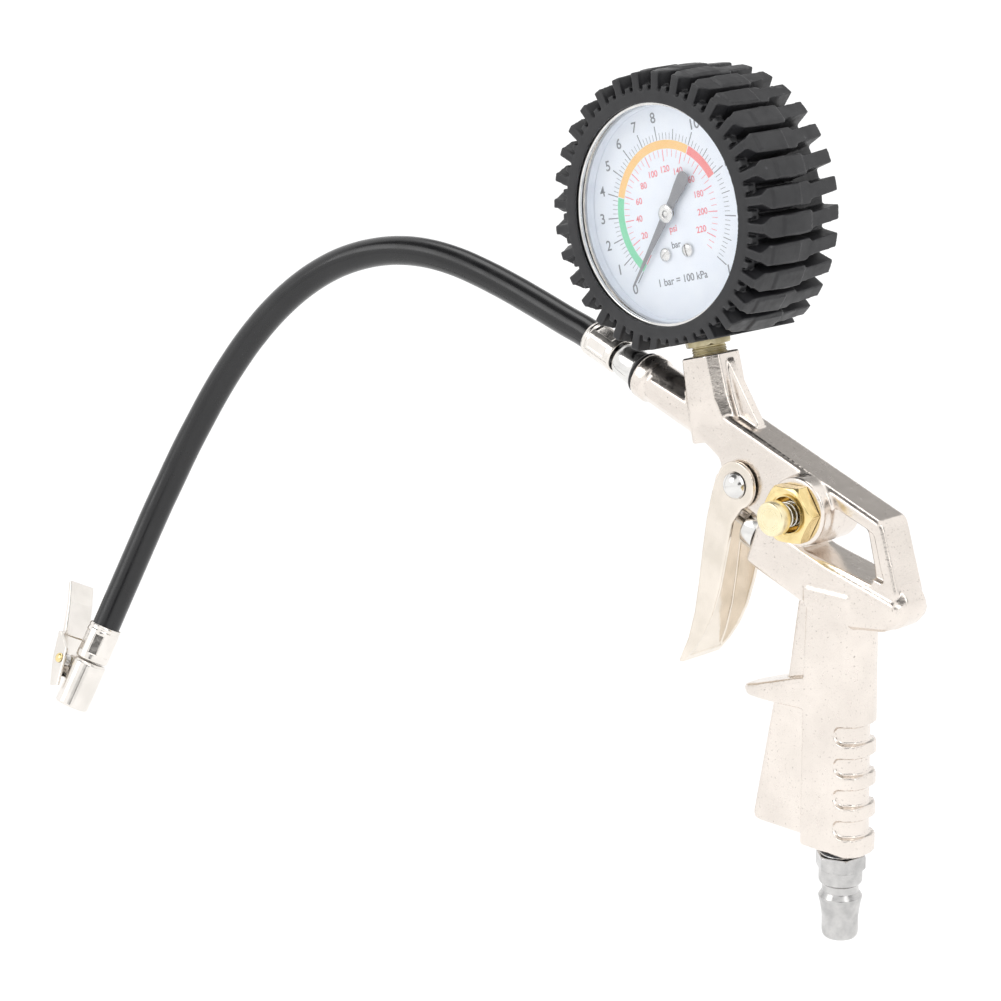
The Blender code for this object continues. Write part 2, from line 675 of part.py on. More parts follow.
# ------------------------------------------------------------------- trigger
def make_trigger():
    front = [(-18.6, 76.5), (-21.9, 71.2), (-25.6, 64.4), (-29.6, 55.4), (-33.4, 46.2),
             (-37.0, 38.2), (-41.4, 30.8), (-47.0, 24.0)]
    back = [(-45.6, 23.6), (-40.2, 27.2), (-35.4, 31.2), (-30.6, 36.6), (-25.6, 44.4),
            (-21.0, 53.2), (-16.6, 62.0), (-10.5, 67.0)]
    trigger = prism("trigger", front + back, -TRIGGER_HALF, TRIGGER_HALF, PARTS)
    ear = rod("trigger_ear", (PIVOT.x, -TRIGGER_HALF, PIVOT.z),
              (PIVOT.x, TRIGGER_HALF, PIVOT.z), 6.8, 40, CUTTERS)
    add(trigger, ear)
    deep = TRIGGER_WALL
    inner = [(-12.0, 84.0), (-16.8, 76.0)]
    for x, z in front[1:-1]:
        inner.append((x + deep * 0.92, z - deep * 0.42))
    inner += [(-43.6, 25.6), (-40.0, 20.0), (0.0, 20.0), (0.0, 84.0)]
    hollow = prism("trigger_hollow", inner, -TRIGGER_HALF + TRIGGER_WALL,
                   TRIGGER_HALF - TRIGGER_WALL, CUTTERS)
    top = rod("trigger_top", (PIVOT.x, -TRIGGER_HALF + TRIGGER_WALL, PIVOT.z),
              (PIVOT.x, TRIGGER_HALF - TRIGGER_WALL, PIVOT.z), 8.2, 40, CUTTERS)
    hole = rod("trigger_hole", (PIVOT.x, -12, PIVOT.z), (PIVOT.x, 12, PIVOT.z),
               2.3, 24, CUTTERS)
    cut(trigger, hollow, top, hole)
    move_origin(trigger, PIVOT)
    return nickel(trigger)


make_trigger()
steel(turned("trigger_rivet", [(0, -10.6), (1.8, -10.3), (3.1, -9.5), (3.9, -8.3),
                               (2.2, -8.3), (2.2, 8.3), (3.9, 8.3), (3.1, 9.5),
                               (1.8, 10.3), (0, 10.6)],
             frame_matrix(PIVOT, (0, 1, 0), (1, 0, 0)), steps=22))


# --------------------------------------------------------------- valve parts
def along_tube(along):
    return frame_matrix(slope(along, TUBE_N), SLOPE_DIR, (0, 1, 0))


gland = turned("valve_gland", [(2.15, -7.2), (5.4, -7.2), (6.0, -6.6), (6.0, -2.4),
                               (4.7, -2.4), (4.7, 9.0), (2.15, 9.0)],
               along_tube(VALVE_FRONT), ring=True, steps=26)
steel(gland)
rubber(ring_of("gland_seal", slope(VALVE_FRONT + 10.4, TUBE_N), SLOPE_DIR, 3.45, 1.2))
steel(turned("valve_seat", [(2.9, 0.0), (4.85, 0.0), (4.85, 3.0), (2.9, 3.0)],
             along_tube(-27.0), ring=True, steps=22))
stem = turned("valve_stem", [(0, -16.1), (1.1, -15.8), (1.75, -15.0), (2.0, -13.9),
                             (2.0, 17.5), (1.2, 17.5), (1.2, 25.0), (0, 25.0)],
              along_tube(VALVE_FRONT), steps=24)
brass(stem)
steel(turned("valve_poppet", [(1.35, 19.4), (3.9, 19.4), (3.9, 21.0), (2.4, 21.2),
                              (2.4, 24.6), (1.35, 24.6)],
             along_tube(VALVE_FRONT), ring=True, steps=20))
rubber(turned("poppet_seal", [(2.15, 16.9), (4.1, 16.9), (4.1, 19.1), (2.15, 19.1)],
              along_tube(VALVE_FRONT), ring=True, steps=20))
steel(coil("valve_spring", slope(VALVE_FRONT + 21.4, TUBE_N), slope(-7.6, TUBE_N),
           3.3, 0.35, 5))

# --------------------------------------------------------------- bleed valve
def along_bleed(y):
    return frame_matrix((BLEED.x, y, BLEED.z), (0, 1, 0), (1, 0, 0))


nut = turned("bleed_nut", [(4.95, 0.4), (6.0, 0.0), (7.2, 0.0), (8.6, 0.9), (8.6, 4.4),
                           (6.45, 4.4), (6.45, 10.4), (1.8, 10.4), (1.8, 8.4),
                           (4.95, 8.4)],
             along_bleed(-14.6), ring=True, steps=30)
trim = hexagon("nut_hex", (BLEED.x, -16.0, BLEED.z), (BLEED.x, -3.0, BLEED.z),
               15.2, CUTTERS, 12.0)
combine(nut, trim, "INTERSECT")
brass(nut)
button = turned("bleed_button", [(0, 0), (4.3, 0), (4.75, 0.5), (4.75, 3.4), (1.5, 3.4),
                                 (1.5, 17.8), (0, 17.8)], along_bleed(-20.9), steps=40)
brass(button)
steel(coil("bleed_spring", (BLEED.x, -17.1, BLEED.z), (BLEED.x, -6.4, BLEED.z),
           3.3, 0.35, 5.5))
rubber(ring_of("bleed_seal", (BLEED.x, -3.55, BLEED.z), (0, 1, 0), 2.15, 0.55, PARTS, 20))

# ----------------------------------------------------------------- air inlet
GRIP_FRAME = frame_matrix(grip(PLUG_V, GRIP_FOOT), GRIP_DOWN, (0, 1, 0))
plug = turned("inlet_plug", [(2.4, -9.5), (4.6, -9.5), (4.6, 0.9), (5.6, 0.9),
                             (5.6, 5.2), (6.1, 5.5), (6.1, 9.4), (5.7, 9.9),
                             (5.2, 10.3), (5.15, 12.5), (6.15, 13.8), (5.6, 16.6),
                             (5.15, 19.6), (5.15, 25.0), (4.5, 26.2), (2.9, 26.2),
                             (2.9, 10.0), (2.4, 9.0)],
              GRIP_FRAME, ring=True, steps=30)
plug_hex = hexagon("plug_hex", grip(PLUG_V, GRIP_FOOT + 1.3), grip(PLUG_V, GRIP_FOOT + 5.6),
                   12.6, CUTTERS, 8.0)
add(plug, plug_hex)
plug_hole = rod("plug_hole", grip(PLUG_V, GRIP_FOOT - 12), grip(PLUG_V, GRIP_FOOT + 9),
                2.4, 20, CUTTERS)
cut(plug, plug_hole)
steel(plug)
rubber(turned("plug_washer", [(4.85, 0.15), (6.1, 0.15), (6.1, 0.75), (4.85, 0.75)],
              GRIP_FRAME, ring=True, steps=24))


# --------------------------------------------------------------------- gauge
def gauge(y):
    """Matrix on the dial's axis with Z pointing back along +Y."""
    return frame_matrix((STEM_X, y, DIAL_Z), (0, 1, 0), (1, 0, 0))


case = turned("gauge_case", [(0, 18.2), (CASE_R - 1.2, 18.2), (CASE_R, 17.0),
                             (CASE_R, -7.6), (CASE_R - 0.9, -7.6), (CASE_R - 0.9, 17.2),
                             (0, 17.2)], gauge(0), steps=48)
stem_hole = rod("case_stem_hole", (STEM_X, 0, DIAL_Z - 20), (STEM_X, 0, DIAL_Z - 40),
                5.3, 28, CUTTERS)
cut(case, stem_hole)
steel(case)
bezel = turned("gauge_bezel", [(WINDOW_R, -10.9), (BEZEL_R - 0.5, -10.9),
                               (BEZEL_R, -10.4), (BEZEL_R, -6.0), (CASE_R + 0.3, -6.0),
                               (CASE_R + 0.3, -9.9), (WINDOW_R, -9.9)],
               gauge(0), ring=True, steps=48)
nickel(bezel)
lens = turned("gauge_lens", [(0, -9.6), (31.9, -9.6), (31.9, -8.0), (0, -8.0)],
              gauge(0), steps=48)
paint(lens, "lens_clear", (0.95, 0.97, 1.0), 0.0, 0.04, 0.35)

plate = turned("dial_plate", [(0, -5.4), (30.9, -5.4), (30.9, -4.9), (0, -4.9)],
               gauge(0), steps=48)
arbor_hole = rod("arbor_hole", (STEM_X, -8, DIAL_Z), (STEM_X, 0, DIAL_Z), 1.3, 20, CUTTERS)
cut(plate, arbor_hole)
SCREW_X = 4.3
SCREW_Z = -11.0
frame_holes = []
for side in (-1, 1):
    hole = rod("screw_hole_%d" % side, (STEM_X + side * SCREW_X, -9, DIAL_Z + SCREW_Z),
               (STEM_X + side * SCREW_X, 6, DIAL_Z + SCREW_Z), 1.0, 16, CUTTERS)
    cut(plate, hole)
    frame_holes.append(hole)
paint(plate, "dial_white", (0.93, 0.95, 0.98), 0.0, 0.45)

for side, name in ((-1, "dial_screw_left"), (1, "dial_screw_right")):
    at = frame_matrix((STEM_X + side * SCREW_X, 0, DIAL_Z + SCREW_Z), (0, 1, 0), (1, 0, 0))
    screw = turned(name, [(0, -6.7), (1.3, -6.6), (1.9, -6.1), (1.9, -5.65), (0.75, -5.65),
                          (0.75, -1.1), (0, -1.1)], at, steps=24)
    kerf = prism(name + "_kerf", [(STEM_X + side * SCREW_X - 3, DIAL_Z + SCREW_Z - 0.25),
                                  (STEM_X + side * SCREW_X + 3, DIAL_Z + SCREW_Z - 0.25),
                                  (STEM_X + side * SCREW_X + 3, DIAL_Z + SCREW_Z + 0.25),
                                  (STEM_X + side * SCREW_X - 3, DIAL_Z + SCREW_Z + 0.25)],
                 -8.0, -6.25, CUTTERS)
    cut(screw, kerf)
    steel(screw)

# Movement behind the dial: frame plate, Bourdon tube, link, toothed sector.
PINION_R = 1.6
SECTOR_R = 12.0
SECTOR_PIVOT = Vector((STEM_X, 0, DIAL_Z - PINION_R - SECTOR_R - 0.25))
movement = prism("movement_frame", [(STEM_X - 8, DIAL_Z - 22.0), (STEM_X + 8, DIAL_Z - 22.0),
                                    (STEM_X + 8, DIAL_Z + 4), (STEM_X - 8, DIAL_Z + 4)],
                 -2.4, -1.2, PARTS, bevel=0.4)
frame_bore = rod("frame_bore", (STEM_X, -5, DIAL_Z), (STEM_X, 2, DIAL_Z), 1.0, 20, CUTTERS)
staff_bore = rod("staff_bore", (STEM_X, -5, SECTOR_PIVOT.z), (STEM_X, 2, SECTOR_PIVOT.z),
                 1.05, 20, CUTTERS)
cut(movement, frame_bore, staff_bore, *frame_holes)
brass(movement)

block = prism("gauge_stem", [(STEM_X - 6.5, DIAL_Z - 30.0), (STEM_X + 6.5, DIAL_Z - 30.0),
                             (STEM_X + 6.5, DIAL_Z - 17.5), (STEM_X - 6.5, DIAL_Z - 17.5)],
              2.4, 9.0, PARTS)
foot = prism("stem_foot", [(STEM_X - 6.5, DIAL_Z - 30.4), (STEM_X + 6.5, DIAL_Z - 30.4),
                           (STEM_X + 6.5, DIAL_Z - 23.5), (STEM_X - 6.5, DIAL_Z - 23.5)],
             -0.8, 9.0, CUTTERS)
hexed = hexagon("stem_hex", (STEM_X, 0, DIAL_Z - 33.9), (STEM_X, 0, DIAL_Z - 38.0), 12.0,
                CUTTERS, 20.0)
thread = turned("stem_thread", [(0, -25.0), (4.6, -25.0), (4.6, -37.0), (4.3, -37.6),
                                (4.3, -38.6), (4.85, -39.0),
                                (4.85, -39.5), (4.4, -39.8), (4.85, -40.1), (4.85, -40.5),
                                (4.4, -40.8), (4.7, -41.2), (4.7, -49.6), (4.1, -50.4),
                                (0, -50.4)],
                frame_matrix((STEM_X, 0, DIAL_Z), (0, 0, 1), (1, 0, 0)), 32, CUTTERS)
stem_bore = rod("stem_bore", (STEM_X, 0, DIAL_Z - 53), (STEM_X, 0, DIAL_Z - 27), 1.5, 16,
                CUTTERS)
stem_cross = rod("stem_cross", (STEM_X, 0, DIAL_Z - 28.2), (STEM_X - 9, 5.6, DIAL_Z - 24.6),
                 1.0, 12, CUTTERS)
add(block, foot, thread, hexed)
cut(block, stem_bore, stem_cross)
brass(block)

bourdon = []
for i in range(31):
    angle = math.radians(-122 + i * (-245.0 / 30))
    bourdon.append((STEM_X + 23.5 * math.cos(angle), 5.6, DIAL_Z + 23.5 * math.sin(angle)))
bourdon.insert(0, (STEM_X - 7.8, 5.6, DIAL_Z - 22.0))
tube = swept("bourdon_tube", bourdon, 1.9, resolution=2)
brass(tube)

link = swept("movement_link", [(STEM_X + 18.6, 1.6, DIAL_Z - 14.2),
                               (STEM_X + 12.0, 1.6, DIAL_Z - 14.8),
                               (STEM_X + 7.2, 1.6, DIAL_Z - 15.2)], 0.5, resolution=2)
steel(link)

# The toothed arc turns 36 degrees anticlockwise while the pointer turns 270 clockwise.
SECTOR_FROM_DEG, SECTOR_TO_DEG = 50.0, 94.0
sector = []
for i in range(13):
    angle = math.radians(SECTOR_FROM_DEG + i * (SECTOR_TO_DEG - SECTOR_FROM_DEG) / 12)
    sector.append((SECTOR_PIVOT.x + SECTOR_R * math.cos(angle),
                   SECTOR_PIVOT.z + SECTOR_R * math.sin(angle)))
for x, z in ((-1.9, 1.6), (-1.9, -1.2), (-1.2, -1.9), (1.2, -1.9), (1.9, -1.2), (1.9, 1.6)):
    sector.append((SECTOR_PIVOT.x + x, SECTOR_PIVOT.z + z))
gear = prism("sector_gear", sector, -0.8, 0.2, PARTS)
add(gear, rod("sector_staff", (SECTOR_PIVOT.x, -3.0, SECTOR_PIVOT.z),
              (SECTOR_PIVOT.x, 0.8, SECTOR_PIVOT.z), 0.8, 16, CUTTERS))
brass(gear)
move_origin(gear, SECTOR_PIVOT)

arbor = turned("pointer_arbor", [(0, -7.5), (0.75, -7.5), (0.75, -0.9), (PINION_R, -0.9),
                                 (PINION_R, 0.3), (0.75, 0.3), (0.75, 0.9), (0, 0.9)],
               gauge(0), steps=20)
steel(arbor)


POINTER_REST_DEG = -135.0
POINTER_OUTLINE = [(25.4, 0.35), (6.0, 1.15), (-7.5, 1.6), (-11.8, 1.9), (-13.0, 1.5),
                   (-13.6, 0.6)]
blade = POINTER_OUTLINE + [(radius, -width) for radius, width in reversed(POINTER_OUTLINE)]
cosine = math.cos(math.radians(POINTER_REST_DEG))
sine = math.sin(math.radians(POINTER_REST_DEG))
shape = [(STEM_X + r * sine + w * cosine, DIAL_Z + r * cosine - w * sine) for r, w in blade]
pointer = prism("pointer", shape, -7.1, -6.75, PARTS)
cut(pointer, rod("pointer_hole", (STEM_X, -9, DIAL_Z), (STEM_X, -5, DIAL_Z), 1.0, 20, CUTTERS))
paint(pointer, "pointer_grey", (0.16, 0.16, 0.17), 0.0, 0.4)
move_origin(pointer, (STEM_X, -6.9, DIAL_Z))
cap = turned("pointer_cap", [(0.9, -7.75), (2.0, -7.7), (2.6, -7.5), (2.6, -7.25), (0.9, -7.25)],
             gauge(0), ring=True, steps=20)
nickel(cap)


# ---------------------------------------------------------------------- boot
def make_boot():
    stations = [(BOOT_FRONT_Y, 0.0, 0.82), (BOOT_FRONT_Y + 9.0, 3.2, 1.0),
                (BOOT_BACK_Y - 10.0, 5.0, 1.0), (BOOT_BACK_Y, 0.6, 1.06)]
    pitch = 360.0 / LUG_COUNT
    rings = []
    for y, skew, rise in stations:
        ring = []
        for i in range(LUG_COUNT):
            base = i * pitch + skew
            tall = BOOT_R + (LUG_R - BOOT_R) * rise
            for share, radius in ((0.0, BOOT_R), (0.06, tall), (0.44, tall), (0.5, BOOT_R)):
                angle = math.radians(base + share * pitch)
                ring.append((STEM_X + radius * math.sin(angle), y,
                             DIAL_Z + radius * math.cos(angle)))
        rings.append(ring)
    boot = loft("boot", rings)
    bore = turned("boot_bore", [(0, -14.0), (30.9, -14.0), (30.9, -11.2),
                                (BOOT_BORE_R, -11.2), (BOOT_BORE_R, 18.6), (29.0, 18.6),
                                (29.0, 22.0), (0, 22.0)], gauge(0), 64, CUTTERS)
    flat = prism("boot_flat", [(STEM_X - 26, BOOT_FLAT_Z), (STEM_X - 26, 100.0),
                               (STEM_X + 26, 100.0), (STEM_X + 26, BOOT_FLAT_Z)],
                 -20, 30, CUTTERS)
    mouth = rod("boot_mouth", (STEM_X, 0, DIAL_Z - 30), (STEM_X, 0, DIAL_Z - 45), 7.6, 28,
                CUTTERS)
    cut(boot, bore, flat, mouth)
    return rubber(boot)


make_boot()
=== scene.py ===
import math

import bmesh
import bpy
from mathutils import Matrix, Vector


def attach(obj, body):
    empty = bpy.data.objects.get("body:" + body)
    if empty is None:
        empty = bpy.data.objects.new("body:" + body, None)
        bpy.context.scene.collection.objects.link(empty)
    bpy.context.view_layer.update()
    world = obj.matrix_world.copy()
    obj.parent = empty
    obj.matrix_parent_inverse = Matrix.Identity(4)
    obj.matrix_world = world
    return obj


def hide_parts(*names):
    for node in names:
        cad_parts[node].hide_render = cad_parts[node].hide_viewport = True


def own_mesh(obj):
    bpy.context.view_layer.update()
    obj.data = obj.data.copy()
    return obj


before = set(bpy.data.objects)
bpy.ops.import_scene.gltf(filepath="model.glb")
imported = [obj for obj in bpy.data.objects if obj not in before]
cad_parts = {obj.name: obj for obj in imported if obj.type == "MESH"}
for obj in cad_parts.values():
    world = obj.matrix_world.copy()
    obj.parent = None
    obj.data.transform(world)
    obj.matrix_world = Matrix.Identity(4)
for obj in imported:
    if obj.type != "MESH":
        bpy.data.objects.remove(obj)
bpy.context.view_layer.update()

# Lengths are in millimetres, in the CAD's frame, and turned into metres by MM.
MM = 0.001

# ------------------------------------------------------------------- camera
CAMERA_AT = Vector((0.4633, -0.5125, 0.1224))
CAMERA_RIGHT = Vector((0.65718, 0.72969, -0.18883))
CAMERA_UP = Vector((0.08065, 0.18101, 0.98017))
CAMERA_BACK = Vector((0.74940, -0.65938, 0.06011))
CAMERA_LENS = 89.9


def make_camera():
    data = bpy.data.cameras.new("camera")
    data.lens = CAMERA_LENS
    data.sensor_width = 36.0
    data.clip_start = 0.01
    data.clip_end = 60.0
    camera = bpy.data.objects.new("camera", data)
    turn = Matrix((CAMERA_RIGHT, CAMERA_UP, CAMERA_BACK)).transposed()
    camera.matrix_world = Matrix.Translation(CAMERA_AT) @ turn.to_4x4()
    bpy.context.scene.collection.objects.link(camera)
    bpy.context.scene.camera = camera


make_camera()

# ------------------------------------------------------- places on the object
SLOPE_DEG = 35.4
BARREL_N = 60.3
BARREL_START = -99.5
TUBE_N = 40.0
VALVE_FRONT = -40.5
GRIP_LEAN_DEG = 14.25
GRIP_FOOT = 33.0
PLUG_ACROSS = 2.6
STEM_X = -20.0
DIAL_Z = 150.0
BLEED_X, BLEED_Z = 9.7, 63.7
PIVOT_X, PIVOT_Z = -12.5, 72.6
HOSE_D = 9.0
FERRULE_R = 5.4
FERRULE_LENGTH = 12.0
MOUTH_R = 4.98

SIN = math.sin(math.radians(SLOPE_DEG))
COS = math.cos(math.radians(SLOPE_DEG))
LEAN_SIN = math.sin(math.radians(GRIP_LEAN_DEG))
LEAN_COS = math.cos(math.radians(GRIP_LEAN_DEG))


def slope(along, across, y=0.0):
    """Point from distances along the barrel's slope and across it."""
    return Vector((along * COS + across * SIN, y, -along * SIN + across * COS))


def grip(across, down, y=0.0):
    """Point from distances across the grip and down its length."""
    return Vector((across * LEAN_COS - down * LEAN_SIN, y,
                   -across * LEAN_SIN - down * LEAN_COS))


def place(origin, z_axis, x_hint=(1, 0, 0)):
    """Matrix in millimetres with Z along an axis and X towards a hint."""
    z = Vector(z_axis).normalized()
    x = Vector(x_hint)
    x = (x - z * x.dot(z)).normalized()
    turn = Matrix((x, z.cross(x), z)).transposed().to_4x4()
    return Matrix.Translation(Vector(origin)) @ turn


def in_metres(matrix):
    scaled = matrix.copy()
    scaled.translation = matrix.translation * MM
    return scaled


SLOPE_DIR = slope(1.0, 0.0)
GRIP_DOWN = grip(0.0, 1.0)
CHUCK_AXIS = Vector((-0.3276, -0.4697, -0.8198)).normalized()
LEVER_SIDE = Vector((-0.86, -0.15, 0.10))

# --------------------------------------------------------------------- hose
HOSE_ROUTE = [
    (-74.4, -0.3, 126.3), (-83.6, -1.2, 132.6), (-92.6, -2.6, 138.9),
    (-101.6, -4.5, 145.0), (-110.7, -6.9, 150.6), (-120.2, -9.7, 155.0),
    (-130.2, -12.9, 157.8), (-140.5, -16.1, 158.7), (-150.8, -19.3, 157.9),
    (-160.9, -22.3, 155.4), (-170.5, -25.3, 151.5), (-179.5, -28.4, 146.4),
    (-187.9, -31.7, 140.2), (-195.4, -35.2, 133.2), (-202.2, -38.9, 125.6),
    (-208.4, -42.7, 117.5), (-214.0, -46.8, 109.2), (-219.0, -51.1, 100.5),
    (-223.5, -55.7, 91.8), (-227.6, -60.4, 82.9), (-231.4, -65.3, 73.9),
    (-235.0, -70.3, 65.0), (-238.5, -75.3, 56.1),
]
CHUCK_TOP = Vector(HOSE_ROUTE[-1])
HOSE_IN_CHUCK = 9.5
CHUCK = place(CHUCK_TOP, -CHUCK_AXIS, LEVER_SIDE)
HOSE_ENDS = [slope(-112.6, BARREL_N), slope(-116.5, BARREL_N),
             slope(-121.0, BARREL_N), slope(-126.5, BARREL_N)]


def through(points, parts):
    """Points along a Catmull-Rom curve through the given points."""
    pts = [Vector(p) for p in points]
    pts = [pts[0] * 2 - pts[1]] + pts + [pts[-1] * 2 - pts[-2]]
    dense = []
    for a, b, c, d in zip(pts, pts[1:], pts[2:], pts[3:]):
        for i in range(parts):
            t = i / parts
            dense.append(0.5 * ((2 * b) + (c - a) * t
                                + (2 * a - 5 * b + 4 * c - d) * t * t
                                + (3 * b - a - 3 * c + d) * t * t * t))
    dense.append(pts[-2])
    return dense


def wire(name, points, radius, resolution=6):
    """Round wire along points, as a curve of one open spline."""
    curve = bpy.data.curves.new(name, "CURVE")
    curve.dimensions = "3D"
    curve.bevel_depth = radius * MM
    curve.bevel_resolution = resolution
    curve.use_fill_caps = True
    curve.twist_mode = "MINIMUM"
    spline = curve.splines.new("POLY")
    spline.points.add(len(points) - 1)
    for target, p in zip(spline.points, points):
        target.co = (p[0] * MM, p[1] * MM, p[2] * MM, 1.0)
    made = bpy.data.objects.new(name, curve)
    bpy.context.scene.collection.objects.link(made)
    return made


hose = wire("rubber_hose",
            through(HOSE_ENDS + HOSE_ROUTE + [CHUCK_TOP + CHUCK_AXIS * HOSE_IN_CHUCK], 6),
            HOSE_D / 2, 10)


# ---------------------------------------------------------------- materials
class Look:
    """A node material with colour patches, surface grain and uneven gloss."""

    def __init__(self, name, metallic=0.0, coat=0.0):
        self.material = bpy.data.materials.new(name)
        self.material.use_nodes = True
        self.tree = self.material.node_tree
        self.shader = self.tree.nodes["Principled BSDF"]
        self.shader.inputs["Metallic"].default_value = metallic
        self.shader.inputs["Coat Weight"].default_value = coat
        self.coords = self.tree.nodes.new("ShaderNodeTexCoord").outputs["Object"]
        self.normal = None

    def join(self, source, target):
        self.tree.links.new(source, target)

    def stretched(self, scale):
        node = self.tree.nodes.new("ShaderNodeMapping")
        node.inputs["Scale"].default_value = scale
        self.join(self.coords, node.inputs["Vector"])
        return node.outputs["Vector"]

    def noise(self, per_metre, detail=3.0, stretch=None, rough=0.55):
        node = self.tree.nodes.new("ShaderNodeTexNoise")
        node.inputs["Scale"].default_value = per_metre
        node.inputs["Detail"].default_value = detail
        node.inputs["Roughness"].default_value = rough
        vector = self.stretched(stretch) if stretch else self.coords
        self.join(vector, node.inputs["Vector"])
        return node.outputs["Fac"]

    def edges(self):
        return self.tree.nodes.new("ShaderNodeNewGeometry").outputs["Pointiness"]

    def spread(self, value, low, high, to_low=0.0, to_high=1.0):
        node = self.tree.nodes.new("ShaderNodeMapRange")
        node.inputs["From Min"].default_value = low
        node.inputs["From Max"].default_value = high
        node.inputs["To Min"].default_value = to_low
        node.inputs["To Max"].default_value = to_high
        self.join(value, node.inputs["Value"])
        return node.outputs["Result"]

    def mix(self, factor, first, second):
        node = self.tree.nodes.new("ShaderNodeMix")
        node.data_type = "RGBA"
        self.join(factor, node.inputs["Factor"])
        for socket, value in ((node.inputs[6], first), (node.inputs[7], second)):
            if isinstance(value, tuple):
                socket.default_value = (*value, 1.0)
            else:
                self.join(value, socket)
        return node.outputs[2]

    def colour(self, source):
        self.join(source, self.shader.inputs["Base Color"])
        return self

    def roughness(self, source):
        self.join(source, self.shader.inputs["Roughness"])
        return self

    def bump(self, height, depth_mm, strength=1.0):
        node = self.tree.nodes.new("ShaderNodeBump")
        node.inputs["Distance"].default_value = depth_mm * MM
        node.inputs["Strength"].default_value = strength
        self.join(height, node.inputs["Height"])
        if self.normal:
            self.join(self.normal, node.inputs["Normal"])
        self.normal = node.outputs["Normal"]
        self.join(self.normal, self.shader.inputs["Normal"])
        return self


def plated_casting(name):
    """Nickel over a die casting: fine orange-peel grain and darker pits."""
    look = Look(name, metallic=1.0)
    patches = look.spread(look.noise(70.0, 3.0), 0.35, 0.65)
    tone = look.mix(patches, (0.84, 0.775, 0.715), (0.76, 0.70, 0.645))
    pits = look.spread(look.noise(1500.0, 2.0), 0.64, 0.76)
    tone = look.mix(pits, tone, (0.46, 0.41, 0.365))
    look.colour(tone)
    look.roughness(look.spread(look.noise(420.0, 3.0), 0.3, 0.7, 0.16, 0.28))
    look.bump(look.noise(1100.0, 3.0), 0.045)
    look.bump(look.noise(160.0, 2.0), 0.06)
    return look.material


def plated_smooth(name, warm=0.0):
    """Bright nickel plate with faint wipe marks."""
    look = Look(name, metallic=1.0)
    patches = look.spread(look.noise(120.0, 2.0), 0.35, 0.65)
    light = (0.86, 0.82 - 0.03 * warm, 0.775 - 0.07 * warm)
    dark = (0.77, 0.735 - 0.03 * warm, 0.69 - 0.07 * warm)
    look.colour(look.mix(patches, light, dark))
    look.roughness(look.spread(look.noise(600.0, 4.0), 0.3, 0.7, 0.10, 0.24))
    look.bump(look.noise(260.0, 2.0), 0.03)
    look.bump(look.noise(1400.0, 2.0), 0.006)
    return look.material


def turned_metal(name, light, dark, smooth=0.14, rough=0.30, mark=0.010):
    """Lathe-cut metal whose fine rings run round the piece's own Z axis."""
    look = Look(name, metallic=1.0)
    rings = look.noise(1.0, 3.0, stretch=(0.0, 0.0, 5200.0))
    patches = look.spread(look.noise(240.0, 3.0), 0.35, 0.68)
    look.colour(look.mix(patches, light, dark))
    look.roughness(look.spread(rings, 0.3, 0.7, smooth, rough))
    look.bump(rings, mark)
    look.bump(look.noise(300.0, 2.0), 0.02)
    return look.material


def moulded_rubber(name):
    """Matt black rubber with moulding grain and lighter scuffed edges."""
    look = Look(name)
    scuff = look.spread(look.edges(), 0.52, 0.62)
    patches = look.spread(look.noise(55.0, 4.0), 0.35, 0.7)
    tone = look.mix(patches, (0.012, 0.012, 0.014), (0.024, 0.024, 0.026))
    tone = look.mix(scuff, tone, (0.050, 0.050, 0.053))
    look.colour(tone)
    look.roughness(look.spread(look.noise(300.0, 4.0), 0.3, 0.7, 0.36, 0.58))
    look.bump(look.noise(2600.0, 2.0), 0.018)
    look.bump(look.noise(220.0, 3.0), 0.05)
    return look.material


def hose_rubber(name):
    """Smooth extruded rubber: soft gloss with faint long waves."""
    look = Look(name, coat=0.12)
    look.shader.inputs["Coat Roughness"].default_value = 0.12
    patches = look.spread(look.noise(45.0, 3.0), 0.35, 0.7)
    look.colour(look.mix(patches, (0.003, 0.003, 0.004), (0.009, 0.009, 0.010)))
    look.roughness(look.spread(look.noise(140.0, 4.0), 0.3, 0.7, 0.16, 0.32))
    look.bump(look.noise(60.0, 2.0), 0.12)
    look.bump(look.noise(900.0, 2.0), 0.008)
    return look.material


def soft_rubber(name):
    """Plain black rubber of the seals and washers."""
    look = Look(name)
    patches = look.spread(look.noise(500.0, 3.0), 0.35, 0.7)
    look.colour(look.mix(patches, (0.012, 0.012, 0.013), (0.028, 0.028, 0.030)))
    look.roughness(look.spread(look.noise(900.0, 3.0), 0.3, 0.7, 0.28, 0.46))
    look.bump(look.noise(2400.0, 2.0), 0.01)
    return look.material


def enamel(name, light, dark, rough=0.35):
    """Printed or painted surface with a slight speckle."""
    look = Look(name)
    patches = look.spread(look.noise(160.0, 3.0), 0.35, 0.7)
    look.colour(look.mix(patches, light, dark))
    look.roughness(look.spread(look.noise(700.0, 3.0), 0.3, 0.7, rough - 0.06, rough + 0.10))
    look.bump(look.noise(1800.0, 2.0), 0.004)
    return look.material


